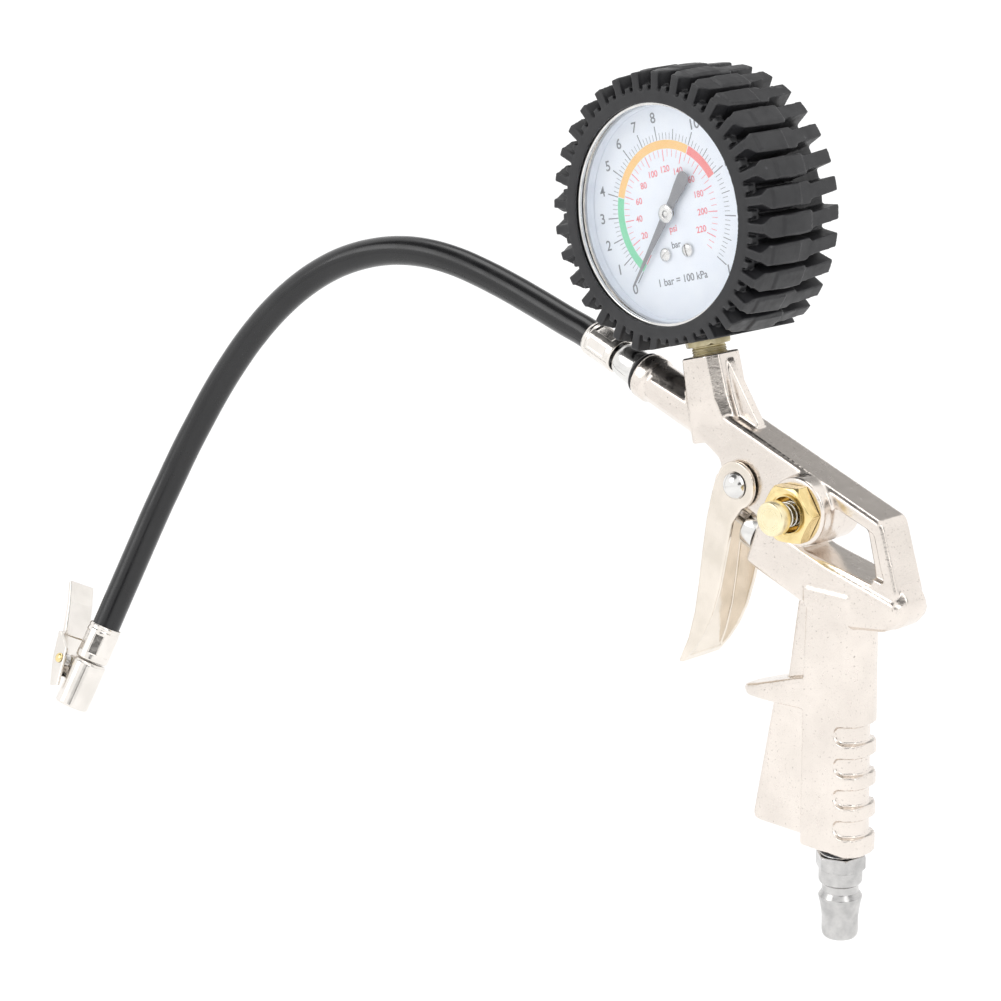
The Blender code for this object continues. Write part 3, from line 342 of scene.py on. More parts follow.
def clear_lens(name):
    """Clear cover: seen through, with a mirror layer that grows at grazing angles."""
    look = Look(name, metallic=1.0)
    smears = look.spread(look.noise(60.0, 4.0), 0.35, 0.7)
    look.colour(look.mix(smears, (0.96, 0.98, 1.0), (0.90, 0.94, 1.0)))
    look.roughness(look.spread(look.noise(90.0, 4.0), 0.35, 0.7, 0.02, 0.07))
    grazing = look.tree.nodes.new("ShaderNodeLayerWeight")
    grazing.inputs["Blend"].default_value = 0.5
    power = look.tree.nodes.new("ShaderNodeMath")
    power.operation = "POWER"
    power.inputs[1].default_value = 4.0
    look.join(grazing.outputs["Facing"], power.inputs[0])
    veil = look.spread(power.outputs["Value"], 0.0, 1.0, 0.04, 0.95)
    look.join(veil, look.shader.inputs["Alpha"])
    return look.material


STEEL_LIGHT, STEEL_DARK = (0.62, 0.61, 0.60), (0.46, 0.455, 0.45)
BRASS_LIGHT, BRASS_DARK = (0.93, 0.76, 0.40), (0.78, 0.60, 0.28)
PALE_LIGHT, PALE_DARK = (0.95, 0.86, 0.60), (0.86, 0.76, 0.49)
OLIVE_LIGHT, OLIVE_DARK = (0.66, 0.60, 0.42), (0.44, 0.38, 0.23)
CASTING = plated_casting("nickel_casting")
NICKEL = plated_smooth("nickel_plate")
WARM_NICKEL = plated_smooth("nickel_plate_warm", 1.0)
STEEL = turned_metal("turned_steel", STEEL_LIGHT, STEEL_DARK)
BRIGHT = turned_metal("bright_steel", (0.80, 0.79, 0.77), (0.68, 0.67, 0.66), 0.08, 0.20, 0.006)
BRASS = turned_metal("turned_brass", BRASS_LIGHT, BRASS_DARK, 0.10, 0.22)
PALE_BRASS = turned_metal("pale_brass", PALE_LIGHT, PALE_DARK, 0.22, 0.36)
OLIVE_BRASS = turned_metal("dull_brass", OLIVE_LIGHT, OLIVE_DARK, 0.24, 0.42)
BOOT_RUBBER = moulded_rubber("boot_rubber")
HOSE_RUBBER = hose_rubber("hose_rubber")
SEAL_RUBBER = soft_rubber("seal_rubber")
DIAL_WHITE = enamel("dial_enamel", (0.86, 0.90, 0.96), (0.82, 0.865, 0.94))
INK_GREY = enamel("ink_grey", (0.18, 0.19, 0.21), (0.25, 0.26, 0.28))
INK_RED = enamel("ink_red", (0.86, 0.20, 0.24), (0.80, 0.26, 0.30))
BAND_GREEN = enamel("band_green", (0.18, 0.66, 0.38), (0.25, 0.71, 0.44))
BAND_ORANGE = enamel("band_orange", (0.95, 0.58, 0.20), (0.96, 0.63, 0.27))
BAND_RED = enamel("band_red", (0.90, 0.24, 0.24), (0.92, 0.31, 0.30))
POINTER_GREY = enamel("pointer_grey", (0.22, 0.22, 0.235), (0.28, 0.28, 0.295), 0.42)
LENS = clear_lens("lens_clear")


# ------------------------------------------------------------------- shapes
def from_bmesh(bm, name, matrix=None):
    bmesh.ops.remove_doubles(bm, verts=bm.verts, dist=1e-7)
    bmesh.ops.recalc_face_normals(bm, faces=bm.faces)
    mesh = bpy.data.meshes.new(name)
    bm.to_mesh(mesh)
    bm.free()
    made = bpy.data.objects.new(name, mesh)
    if matrix:
        made.matrix_world = in_metres(matrix)
    bpy.context.scene.collection.objects.link(made)
    return made


def meshed(piece):
    """Mesh of a piece as its modifiers, or its curve, make it."""
    bpy.context.view_layer.update()
    graph = bpy.context.evaluated_depsgraph_get()
    return bpy.data.meshes.new_from_object(piece.evaluated_get(graph))


def settle(piece):
    """Put the modifiers' result into the mesh."""
    mesh = meshed(piece)
    piece.modifiers.clear()
    old = piece.data
    piece.data = mesh
    if isinstance(old, bpy.types.Mesh) and old.users == 0:
        bpy.data.meshes.remove(old)
    return piece


def smooth(piece, angle=38.0):
    piece.data.shade_smooth()
    piece.data.set_sharp_from_angle(angle=math.radians(angle))
    return piece


def lathe(name, profile, matrix, steps=96, ring=False, edge=0.12):
    """Profile of (radius, height) turned about the matrix's Z axis, edges eased."""
    bm = bmesh.new()
    verts = [bm.verts.new((r * MM, 0.0, h * MM)) for r, h in profile]
    edges = [bm.edges.new(pair) for pair in zip(verts, verts[1:])]
    if ring:
        edges.append(bm.edges.new((verts[-1], verts[0])))
    bmesh.ops.spin(bm, geom=verts + edges, cent=(0, 0, 0), axis=(0, 0, 1),
                   dvec=(0, 0, 0), angle=2 * math.pi, steps=steps, use_merge=True)
    made = from_bmesh(bm, name, matrix)
    if edge:
        ease(made, edge)
    return smooth(made)


def ease(made, width, segments=2, angle=28.0):
    mod = made.modifiers.new("edges", "BEVEL")
    mod.width = width * MM
    mod.segments = segments
    mod.limit_method = "ANGLE"
    mod.angle_limit = math.radians(angle)
    return settle(made)


def loft(name, rings, matrix=None):
    """Closed skin between rings of points, in the matrix's own frame."""
    bm = bmesh.new()
    made = [[bm.verts.new(Vector(p) * MM) for p in ring] for ring in rings]
    count = len(made[0])
    for low, high in zip(made, made[1:]):
        for i in range(count):
            j = (i + 1) % count
            bm.faces.new((low[i], low[j], high[j], high[i]))
    bm.faces.new(made[0])
    bm.faces.new(list(reversed(made[-1])))
    return from_bmesh(bm, name, matrix)


def block(name, low, high, matrix=None):
    rings = [[(low[0], low[1], z), (high[0], low[1], z), (high[0], high[1], z),
              (low[0], high[1], z)] for z in (low[2], high[2])]
    return loft(name, rings, matrix)


def hexagon(name, bottom, top, flats, matrix, turn=0.0):
    corner = flats / math.sqrt(3.0)
    rings = []
    for z in (bottom, top):
        rings.append([(corner * math.cos(math.radians(60 * i + turn)),
                       corner * math.sin(math.radians(60 * i + turn)), z)
                      for i in range(6)])
    return loft(name, rings, matrix)


def combine(target, other, operation):
    """Exact Boolean with a helper shape, which is then removed."""
    bpy.context.view_layer.update()
    mod = target.modifiers.new("shape", "BOOLEAN")
    mod.operation = operation
    mod.solver = "EXACT"
    mod.object = other
    settle(target)
    bpy.data.objects.remove(other, do_unlink=True)
    return target


def melt(piece, voxel, passes):
    """Fine even mesh of the piece with its edges rounded by smoothing."""
    bm = bmesh.new()
    bm.from_mesh(piece.data)
    bmesh.ops.remove_doubles(bm, verts=bm.verts, dist=1e-6)
    bm.to_mesh(piece.data)
    bm.free()
    mod = piece.modifiers.new("voxels", "REMESH")
    mod.mode = "VOXEL"
    mod.voxel_size = voxel * MM
    soft = piece.modifiers.new("soften", "SMOOTH")
    soft.factor = 0.5
    soft.iterations = passes
    settle(piece)
    piece.data.shade_smooth()
    return piece


def copy_of(node, name):
    """A piece that starts as a copy of a CAD node's mesh."""
    made = bpy.data.objects.new(name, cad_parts[node].data.copy())
    made.matrix_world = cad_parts[node].matrix_world
    bpy.context.scene.collection.objects.link(made)
    return made


def joined(name, pieces):
    """One object from several, with each one's place put into the mesh."""
    bm = bmesh.new()
    bpy.context.view_layer.update()
    for piece in pieces:
        mesh = piece.data.copy()
        mesh.transform(piece.matrix_world)
        bm.from_mesh(mesh)
        bpy.data.meshes.remove(mesh)
        bpy.data.objects.remove(piece, do_unlink=True)
    mesh = bpy.data.meshes.new(name)
    bm.to_mesh(mesh)
    bm.free()
    made = bpy.data.objects.new(name, mesh)
    bpy.context.scene.collection.objects.link(made)
    return made


def finish_piece(piece, look, body, slot, *nodes):
    piece.data.materials.clear()
    piece.data.materials.append(look)
    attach(piece, body)
    if nodes:
        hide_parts(*nodes)
    return piece


# ----------------------------------------------------------- gun and trigger
body = melt(copy_of("gun_body", "cast_body"), voxel=0.42, passes=5)
finish_piece(body, CASTING, "gun", "cast_nickel", "gun_body")

trigger = melt(copy_of("trigger", "pressed_trigger"), voxel=0.28, passes=4)
finish_piece(trigger, WARM_NICKEL, "trigger", "nickel_plate", "trigger")

RIVET = place((PIVOT_X, 0, PIVOT_Z), (0, 1, 0))
rivet = lathe("domed_rivet", [(0, -10.6), (1.3, -10.5), (2.3, -10.1), (3.1, -9.5),
                              (3.65, -8.9), (3.9, -8.3), (2.2, -8.3), (2.2, 8.3),
                              (3.9, 8.3), (3.65, 8.9), (3.1, 9.5), (2.3, 10.1),
                              (1.3, 10.5), (0, 10.6)], RIVET, edge=0.0)
finish_piece(rivet, BRIGHT, "gun", "bright_steel", "trigger_rivet")


# ------------------------------------------------------------------ fittings
def crimped_sleeve(name, node, matrix):
    """Ferrule with two rows of pressed flats and a rolled lip."""
    wall = HOSE_D / 2 + 0.1
    sleeve = lathe(name, [(wall, 0.0), (FERRULE_R - 0.35, 0.0), (FERRULE_R, 0.35),
                          (FERRULE_R, FERRULE_LENGTH - 1.9),
                          (FERRULE_R - 0.2, FERRULE_LENGTH - 1.5),
                          (FERRULE_R - 0.2, FERRULE_LENGTH - 1.1),
                          (FERRULE_R, FERRULE_LENGTH - 0.8),
                          (FERRULE_R - 0.25, FERRULE_LENGTH), (MOUTH_R, FERRULE_LENGTH),
                          (MOUTH_R, FERRULE_LENGTH - 1.5), (wall, FERRULE_LENGTH - 1.5)],
                   matrix, ring=True, edge=0.0)
    for i in range(6):
        turn = matrix @ Matrix.Rotation(math.radians(60 * i + 10), 4, "Z")
        pressed = block("press", (FERRULE_R - 0.32, -1.55, 2.3), (FERRULE_R + 2, 1.55, 9.3), turn)
        combine(sleeve, pressed, "DIFFERENCE")
    melt(sleeve, voxel=0.13, passes=3)
    return finish_piece(sleeve, NICKEL, "gun", "nickel_plate", node)


GUN_END = place(slope(-110.4, BARREL_N), -SLOPE_DIR, (0, 1, 0))
crimped_sleeve("gun_sleeve", "gun_ferrule", GUN_END)

FITTING = place(slope(BARREL_START - 1.5, BARREL_N), -SLOPE_DIR, (0, 1, 0))
fitting = lathe("hose_tail", [(1.6, 11.0), (1.6, -10.6), (4.4, -10.6), (4.4, 0.4),
                              (5.0, 0.45), (5.3, 0.9), (5.35, 2.0), (5.3, 5.2), (5.2, 6.4),
                              (5.0, 7.6), (4.7, 8.4), (4.3, 8.7), (2.3, 8.7), (2.3, 11.0)],
                FITTING, ring=True)
finish_piece(fitting, BRIGHT, "gun", "nickel_plate", "hose_fitting")

washer = lathe("fitting_o_ring", [(4.7, 0.25), (5.6, 0.2), (6.2, 0.4), (6.4, 0.8),
                                  (6.2, 1.2), (5.6, 1.4), (4.7, 1.35)],
               place(slope(BARREL_START, BARREL_N), -SLOPE_DIR, (0, 1, 0)), ring=True)
finish_piece(washer, SEAL_RUBBER, "gun", "black_rubber", "fitting_washer")

GLAND = place(slope(VALVE_FRONT, TUBE_N), SLOPE_DIR, (0, 1, 0))
gland = lathe("valve_gland_nut", [(2.15, -7.2), (2.9, -7.2), (5.3, -7.2), (5.7, -7.05),
                                  (6.0, -6.6), (6.0, -2.4), (4.7, -2.4), (4.7, 9.0),
                                  (2.15, 9.0)], GLAND, ring=True)
finish_piece(gland, BRIGHT, "gun", "bright_steel", "valve_gland")


# -------------------------------------------------------------- bleed valve
COIL_R = 3.3
COIL_GAUGE = 0.35


def coil(name, matrix, radius, gauge, low, high, turns):
    count = int(turns * 28)
    points = []
    for i in range(count + 1):
        angle = 2 * math.pi * turns * i / count
        points.append(matrix @ Vector((radius * math.cos(angle), radius * math.sin(angle),
                                       low + (high - low) * i / count)))
    curve = wire(name + "_path", points, gauge, 3)
    made = bpy.data.objects.new(name, meshed(curve))
    bpy.data.objects.remove(curve, do_unlink=True)
    bpy.context.scene.collection.objects.link(made)
    return smooth(made, 60.0)


BLEED = place((BLEED_X, -14.6, BLEED_Z), (0, 1, 0))
nut = lathe("bleed_hex_nut", [(4.95, 0.5), (5.5, 0.1), (6.3, 0.0), (7.2, 0.0), (8.0, 0.45),
                              (8.75, 1.2), (8.75, 4.4), (6.45, 4.4), (6.45, 10.4),
                              (1.8, 10.4), (1.8, 8.4), (4.95, 8.4)], BLEED, ring=True, edge=0.0)
combine(nut, hexagon("nut_flats", -2.0, 12.0, 15.2, BLEED, 12.0), "INTERSECT")
melt(nut, voxel=0.16, passes=2)
finish_piece(nut, BRASS, "gun", "yellow_brass", "bleed_nut")

BUTTON = place((BLEED_X, -20.9, BLEED_Z), (0, 1, 0))
button = lathe("bleed_push_button", [(0, 0.15), (2.0, 0.08), (3.9, 0.0), (4.4, 0.15),
                                     (4.7, 0.5), (4.75, 1.0), (4.75, 3.4), (1.5, 3.4),
                                     (1.5, 17.8), (0, 17.8)], BUTTON)
finish_piece(button, PALE_BRASS, "bleed", "yellow_brass", "bleed_button")
BLEED_SEAT_Y = -6.6
BLEED_COIL_FRONT_Y = -17.1
BLEED_COIL_TURNS = 5.5
spring = coil("bleed_coil", place((BLEED_X, 0, BLEED_Z), (0, 1, 0)), COIL_R, COIL_GAUGE,
              BLEED_COIL_FRONT_Y, BLEED_SEAT_Y, BLEED_COIL_TURNS)
finish_piece(spring, BRIGHT, "gun", "bright_steel", "bleed_spring")
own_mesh(spring)

# ------------------------------------------------------------- valve spring
VALVE_SEAT_ALONG = -7.6
VALVE_COIL_FRONT = -19.0
VALVE_COIL_TURNS = 6.5
spring = coil("valve_coil", place(slope(0, TUBE_N), SLOPE_DIR, (0, 1, 0)), COIL_R, COIL_GAUGE,
              VALVE_COIL_FRONT, VALVE_SEAT_ALONG, VALVE_COIL_TURNS)
finish_piece(spring, BRIGHT, "gun", "bright_steel", "valve_spring")
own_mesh(spring)

# ----------------------------------------------------------------- air plug
PLUG = place(grip(PLUG_ACROSS, GRIP_FOOT), GRIP_DOWN, (0, 1, 0))
plug = lathe("coupler_plug", [(2.4, -9.5), (4.6, -9.5), (4.6, 0.9), (5.6, 0.9), (5.6, 5.3),
                              (6.0, 5.5), (6.15, 5.8), (6.15, 9.2), (5.9, 9.7), (5.3, 10.1),
                              (5.15, 10.6), (5.15, 12.3), (5.5, 12.9), (6.15, 13.9),
                              (6.1, 14.6), (5.75, 16.0), (5.35, 18.4), (5.15, 20.2),
                              (5.15, 24.4), (5.0, 25.4), (4.5, 26.1), (3.9, 26.2),
                              (2.9, 26.2), (2.9, 10.0), (2.4, 9.0)], PLUG, ring=True, edge=0.0)
plug_hex = hexagon("plug_flats", 1.3, 5.6, 12.6, PLUG, 8.0)
dome = lathe("plug_dome", [(0, 0.9), (6.4, 0.9), (7.4, 2.0), (7.4, 4.9), (6.4, 6.0), (0, 6.0)],
             PLUG, edge=0.0)
combine(plug_hex, dome, "INTERSECT")
core = lathe("plug_core", [(0, -2.0), (5.0, -2.0), (5.0, 8.0), (0, 8.0)], PLUG, edge=0.0)
combine(plug_hex, core, "DIFFERENCE")
plug = joined("coupler_plug_body", [plug, plug_hex])
plug.data.transform(in_metres(PLUG).inverted())
plug.matrix_world = in_metres(PLUG)
melt(plug, voxel=0.16, passes=2)
finish_piece(plug, STEEL, "gun", "bright_steel", "inlet_plug")
washer = lathe("plug_o_ring", [(4.85, 0.15), (5.9, 0.15), (6.1, 0.45), (5.9, 0.75), (4.85, 0.75)],
               PLUG, ring=True)
finish_piece(washer, SEAL_RUBBER, "gun", "black_rubber", "plug_washer")

# ------------------------------------------------------------ gauge and dial
DIAL = place((STEM_X, 0, DIAL_Z), (0, 1, 0))
bezel = lathe("dial_bezel", [(30.2, -10.75), (30.5, -10.95), (32.6, -10.95), (33.2, -10.7),
                             (33.4, -10.2), (33.4, -6.0), (32.4, -6.0), (32.4, -9.9),
                             (30.2, -9.9)], DIAL, steps=160, ring=True)
finish_piece(bezel, BRIGHT, "gun", "nickel_plate", "gauge_bezel")
lens = lathe("dial_lens", [(0, -9.85), (10, -9.82), (20, -9.75), (31.9, -9.6), (31.9, -8.0),
                           (0, -8.0)], DIAL, steps=160, edge=0.0)
finish_piece(lens, LENS, "gun", "clear_lens", "gauge_lens")
face = lathe("dial_face", [(1.3, -5.4), (30.9, -5.4), (30.9, -4.9), (1.3, -4.9)], DIAL,
             steps=160, ring=True, edge=0.0)
finish_piece(face, DIAL_WHITE, "gun", "white_dial", "dial_plate")
side = lathe("dial_side_ring", [(30.2, -7.9), (31.0, -7.9), (31.0, -5.5), (29.9, -5.5)], DIAL,
             steps=160, ring=True, edge=0.0)
finish_piece(side, DIAL_WHITE, "gun", "white_dial")

DIAL_TOP_Y, TEXT_Y, PRINT_Y = -5.40, -5.42, -5.43
BAND_INNER, BAND_OUTER = 17.9, 20.3
GREEN_TO, ORANGE_FROM, ORANGE_TO, RED_FROM, RED_TO = 3.98, 4.02, 9.98, 10.02, 12.0
DEGREES_PER_BAR = 16.875
START_DEG = -135.0
BAR_PER_PSI = 0.0689476


def on_dial(radius, angle_deg, y=PRINT_Y):
    """Angle is clockwise from the top, seen from the dial's front."""
    angle = math.radians(angle_deg)
    return Vector((STEM_X + radius * math.sin(angle), y, DIAL_Z + radius * math.cos(angle)))


def printed_arcs(name, arcs, look):
    """Thin raised ink: each arc is (inner radius, outer radius, from, to)."""
    bm = bmesh.new()
    for inner, outer, low, high in arcs:
        steps = max(1, int((high - low) / 1.5))
        rings = []
        for i in range(steps + 1):
            angle = low + (high - low) * i / steps
            corners = (on_dial(inner, angle), on_dial(outer, angle),
                       on_dial(outer, angle, DIAL_TOP_Y),
                       on_dial(inner, angle, DIAL_TOP_Y))
            rings.append([bm.verts.new(p * MM) for p in corners])
        for first, second in zip(rings, rings[1:]):
            for i in range(4):
                j = (i + 1) % 4
                bm.faces.new((first[i], first[j], second[j], second[i]))
        bm.faces.new(rings[0])
        bm.faces.new(list(reversed(rings[-1])))
    return finish_piece(from_bmesh(bm, name), look, "gun", "white_dial")


def ticks(name, angles_lengths, inner, sign, look):
    arcs = []
    for angle, length, width in angles_lengths:
        half = math.degrees(width / 2 / inner)
        low, high = sorted((inner, inner + sign * length))
        arcs.append((low, high, angle - half, angle + half))
    return printed_arcs(name, arcs, look)


def bar_angle(value):
    return START_DEG + DEGREES_PER_BAR * value


def make_scales():
    bar_ticks = []
    for i in range(161):
        value = i / 10.0
        if i % 20 == 0 or (i % 10 == 0 and value < 8):
            bar_ticks.append((bar_angle(value), 3.9, 0.26))
        elif i % 10 == 0:
            bar_ticks.append((bar_angle(value), 3.0, 0.20))
        elif i % 2 == 0:
            bar_ticks.append((bar_angle(value), 1.9, 0.13))
    ticks("bar_ticks", bar_ticks, 20.4, 1, INK_GREY)
    psi_ticks = []
    for value in range(0, 231, 5):
        angle = bar_angle(value * BAR_PER_PSI)
        if value % 20 == 0:
            psi_ticks.append((angle, 3.3, 0.28))
        else:
            psi_ticks.append((angle, 2.0, 0.15))
    ticks("psi_ticks", psi_ticks, 17.7, -1, INK_RED)
    for name, low, high, look in (("green_band", 0.0, GREEN_TO, BAND_GREEN),
                                  ("orange_band", ORANGE_FROM, ORANGE_TO, BAND_ORANGE),
                                  ("red_band", RED_FROM, RED_TO, BAND_RED)):
        printed_arcs(name, [(BAND_INNER, BAND_OUTER, bar_angle(low), bar_angle(high))], look)


def printed_text(name, words, radius, angle_deg, size, look):
    curve = bpy.data.curves.new(name, "FONT")
    curve.body = words
    curve.size = size * MM
    curve.align_x = "CENTER"
    curve.align_y = "CENTER"
    curve.extrude = 0.012 * MM
    curve.offset = 0.035 * MM
    made = bpy.data.objects.new(name, curve)
    spot = on_dial(radius, angle_deg, TEXT_Y) * MM
    made.matrix_world = Matrix.Translation(spot) @ Matrix.Rotation(math.pi / 2, 4, "X")
    bpy.context.scene.collection.objects.link(made)
    mesh = meshed(made)
    mesh.transform(made.matrix_world)
    bpy.data.objects.remove(made, do_unlink=True)
    piece = bpy.data.objects.new(name, mesh)
    bpy.context.scene.collection.objects.link(piece)
    return finish_piece(piece, look, "gun", "white_dial")


make_scales()
for value in (0, 1, 2, 3, 4, 5, 6, 7, 8, 10, 12, 14, 16):
    printed_text("bar_%d" % value, str(value), 26.6, bar_angle(value), 4.1, INK_GREY)
for value in range(20, 221, 20):
    printed_text("psi_%d" % value, str(value), 12.2, bar_angle(value * BAR_PER_PSI), 2.5, INK_RED)
printed_text("psi_word", "psi", 4.4, 180, 2.7, INK_RED)
printed_text("bar_word", "bar", 8.9, 180, 2.7, INK_GREY)
printed_text("unit_line", "1 bar = 100 kPa", 18.6, 180, 3.0, INK_GREY)

for side_sign, node in ((-1, "dial_screw_left"), (1, "dial_screw_right")):
    at = place((STEM_X + side_sign * 4.3, 0, DIAL_Z - 11.0), (0, 1, 0))
    screw = lathe(node + "_head", [(0, -6.75), (0.9, -6.7), (1.5, -6.5), (1.85, -6.2), (1.9, -5.65),
                                   (0.75, -5.65), (0.75, -1.1), (0, -1.1)], at, edge=0.0)
    kerf = block("kerf", (-3, -0.22, -8.0), (3, 0.22, -6.3),
                 at @ Matrix.Rotation(math.radians(25 + 60 * side_sign), 4, "Z"))
    combine(screw, kerf, "DIFFERENCE")
    smooth(screw)
    finish_piece(screw, BRIGHT, "gun", "bright_steel", node)

POINTER_OUTLINE = [(25.4, 0.22), (20.0, 0.42), (12.0, 0.78), (6.0, 1.10), (3.4, 1.25),
                   (0.0, 1.30), (-4.0, 1.35), (-8.5, 1.85), (-11.8, 2.05), (-13.0, 1.75),
                   (-13.7, 1.0), (-13.9, 0.0)]


def make_pointer():
    outline = [(r, w) for r, w in POINTER_OUTLINE]
    outline += [(r, -w) for r, w in reversed(POINTER_OUTLINE[:-1])]
    angle = math.radians(START_DEG)
    sine, cosine = math.sin(angle), math.cos(angle)
    rings = []
    for y in (-7.1, -6.75):
        rings.append([(STEM_X + r * sine + w * cosine, y, DIAL_Z + r * cosine - w * sine)
                      for r, w in outline])
    pointer = ease(loft("dial_pointer", rings), 0.08, 2)
    smooth(pointer)
    return finish_piece(pointer, POINTER_GREY, "pointer", "grey_pointer", "pointer")


make_pointer()
cap = lathe("pointer_hub_cap", [(0.9, -7.75), (1.2, -7.95), (1.9, -7.9), (2.5, -7.65),
                                (2.75, -7.25), (0.9, -7.25)], DIAL, ring=True, edge=0.05)
finish_piece(cap, BRIGHT, "pointer", "nickel_plate", "pointer_cap")

# --------------------------------------------------------------- gauge stem
STEM = place((STEM_X, 0, DIAL_Z), (0, 0, 1))
THREAD_TURNS = 12
THREAD_PITCH = 0.78


def make_stem():
    profile = [(1.5, -28.0), (4.6, -28.0), (4.6, -38.4), (4.95, -38.8)]
    height = -38.9
    for _ in range(THREAD_TURNS):
        profile += [(4.95, height), (4.45, height - 0.22), (4.95, height - 0.5)]
        height -= THREAD_PITCH
    profile += [(4.3, -49.0), (4.3, -50.4), (1.5, -50.4)]
    thread = lathe("stem_thread", profile, STEM, ring=True, edge=0.0)
    nut = hexagon("stem_flats", -38.0, -33.9, 12.0, STEM, 20.0)
    dome = lathe("stem_dome", [(0, -38.2), (6.1, -38.2), (7.0, -37.3), (7.0, -34.6),
                               (6.1, -33.7), (0, -33.7)], STEM, edge=0.0)
    combine(nut, dome, "INTERSECT")
    stem = joined("gauge_stem_brass", [thread, nut])
    stem.data.transform(in_metres(STEM).inverted())
    stem.matrix_world = in_metres(STEM)
    melt(stem, voxel=0.14, passes=1)
    return finish_piece(stem, OLIVE_BRASS, "gun", "yellow_brass", "gauge_stem")


make_stem()

# --------------------------------------------------------------------- boot
SHELL_R = 34.4
LUG_COUNT = 32
LUG_TURN_DEG = 3.5
BOOT_FRONT, BOOT_BACK = -12.2, 19.4
BOOT_FLAT_Z = 113.6
# Each station is (y, turn in degrees, half width in degrees, outer radius).
BAR = [(BOOT_FRONT, 0.0, 1.9, 39.5), (-11.0, 0.0, 2.0, 39.6), (-8.4, 0.0, 4.1, 39.8),
       (2.0, 0.0, 4.5, 40.1), (7.5, -0.3, 4.5, 40.0), (8.6, -0.4, 3.0, 40.0),
       (BOOT_BACK, -2.2, 2.9, 39.9)]
FRONT_CAP = [(-7.0, 0.0, 3.3, 40.2), (3.5, 0.0, 3.6, 40.65)]
MIDDLE_CAP = [(-3.5, 0.0, 3.5, 40.4), (3.5, 0.0, 3.6, 40.65), (7.3, -0.3, 3.6, 40.6)]
STEP = [(BOOT_FRONT, 0.0, 1.5, 35.9), (-9.0, 0.0, 1.5, 35.9)]


def around(radius, angle_deg, y):
    p = on_dial(radius, angle_deg, y)
    p.z = max(p.z, BOOT_FLAT_Z)
    return p


def lug(stations, base):
    """Tread bar or block through stations, standing on the boot's shell."""
    rings = []
    for y, turn, half, top in stations:
        ring = []
        for share in (-1, 0, 1):
            ring.append(around(top, base + turn + share * half, y))
        for share in (1, 0, -1):
            ring.append(around(SHELL_R - 0.6, base + turn + share * half * 1.12, y))
        rings.append(ring)
    return loft("lug", rings)


def make_boot():
    shell = lathe("boot_shell", [(30.9, -11.2), (30.9, -12.1), (31.1, -12.3),
                                 (SHELL_R - 0.4, -12.3), (SHELL_R, -12.0), (SHELL_R, 19.0),
                                 (SHELL_R - 0.4, 19.4), (29.0, 19.4), (29.0, 18.6),
                                 (33.5, 18.6), (33.5, -11.2)],
                  DIAL, steps=180, ring=True, edge=0.0)
    mouth = lathe("boot_mouth", [(0, -45), (7.6, -45), (7.6, -30), (0, -30)], STEM, edge=0.0)
    combine(shell, mouth, "DIFFERENCE")
    pitch = 360.0 / LUG_COUNT
    pieces = [shell]
    for i in range(LUG_COUNT):
        base = i * pitch + LUG_TURN_DEG
        pieces.append(lug(BAR, base))
        pieces.append(lug(FRONT_CAP if i % 2 == 0 else MIDDLE_CAP, base))
        pieces.append(lug(STEP, base + pitch / 2))
    boot = joined("tread_boot", pieces)
    melt(boot, voxel=0.36, passes=1)
    return finish_piece(boot, BOOT_RUBBER, "gun", "black_rubber", "boot")


make_boot()

# -------------------------------------------------------------------- chuck
crimped = crimped_sleeve("chuck_sleeve", "chuck_ferrule",
                         CHUCK @ Matrix.Translation((0, 0, -10.6)))
chuck_body = finish_piece(melt(copy_of("chuck_body", "chuck_barrel"), voxel=0.16, passes=6), NICKEL, "gun",
                          "nickel_plate", "chuck_body")
chuck_lever = finish_piece(melt(copy_of("chuck_lever", "chuck_clip_lever"), voxel=0.20, passes=3), NICKEL,
                           "chuck_lever", "nickel_plate", "chuck_lever")
LEVER_PIVOT = CHUCK @ Matrix.Translation((6.8, 0, -14.0))
PIN = LEVER_PIVOT @ Matrix.Rotation(-math.pi / 2, 4, "X")
chuck_pin = lathe("chuck_rivet", [(0, -7.75), (0.9, -7.7), (1.45, -7.45), (1.6, -7.2),
                                  (1.05, -7.2), (1.05, 7.2), (1.6, 7.2), (1.45, 7.45),
                                  (0.9, 7.7), (0, 7.75)], PIN, edge=0.0)
finish_piece(chuck_pin, BRASS, "gun", "bright_steel", "chuck_pin")
chuck_spring = coil("chuck_coil", PIN, 1.6, 0.25, 3.1, 5.4, 4)
finish_piece(chuck_spring, BRIGHT, "gun", "bright_steel", "chuck_lever_spring")

# --------------------------------------------------------------------- cord
finish_piece(hose, HOSE_RUBBER, "gun", "black_rubber", "hose")

# --------------------------------------------- CAD nodes that stay as they are
KEPT = {
    "gauge_case": NICKEL, "bourdon_tube": OLIVE_BRASS, "movement_frame": BRASS,
    "movement_link": STEEL, "sector_gear": BRASS, "pointer_arbor": BRIGHT,
    "valve_stem": BRIGHT, "valve_poppet": STEEL, "valve_seat": STEEL,
    "poppet_seal": SEAL_RUBBER, "gland_seal": SEAL_RUBBER,
    "bleed_seal": SEAL_RUBBER, "chuck_seal": SEAL_RUBBER, "chuck_core_pin": BRASS,
}
for node, look in KEPT.items():
    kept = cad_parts[node]
    kept.data.materials.clear()
    kept.data.materials.append(look)

# -------------------------------------------------------------------- stage
FLOOR_Z = -0.16
FLOOR_R = 14.0
FLOOR_GLOW = 0.20


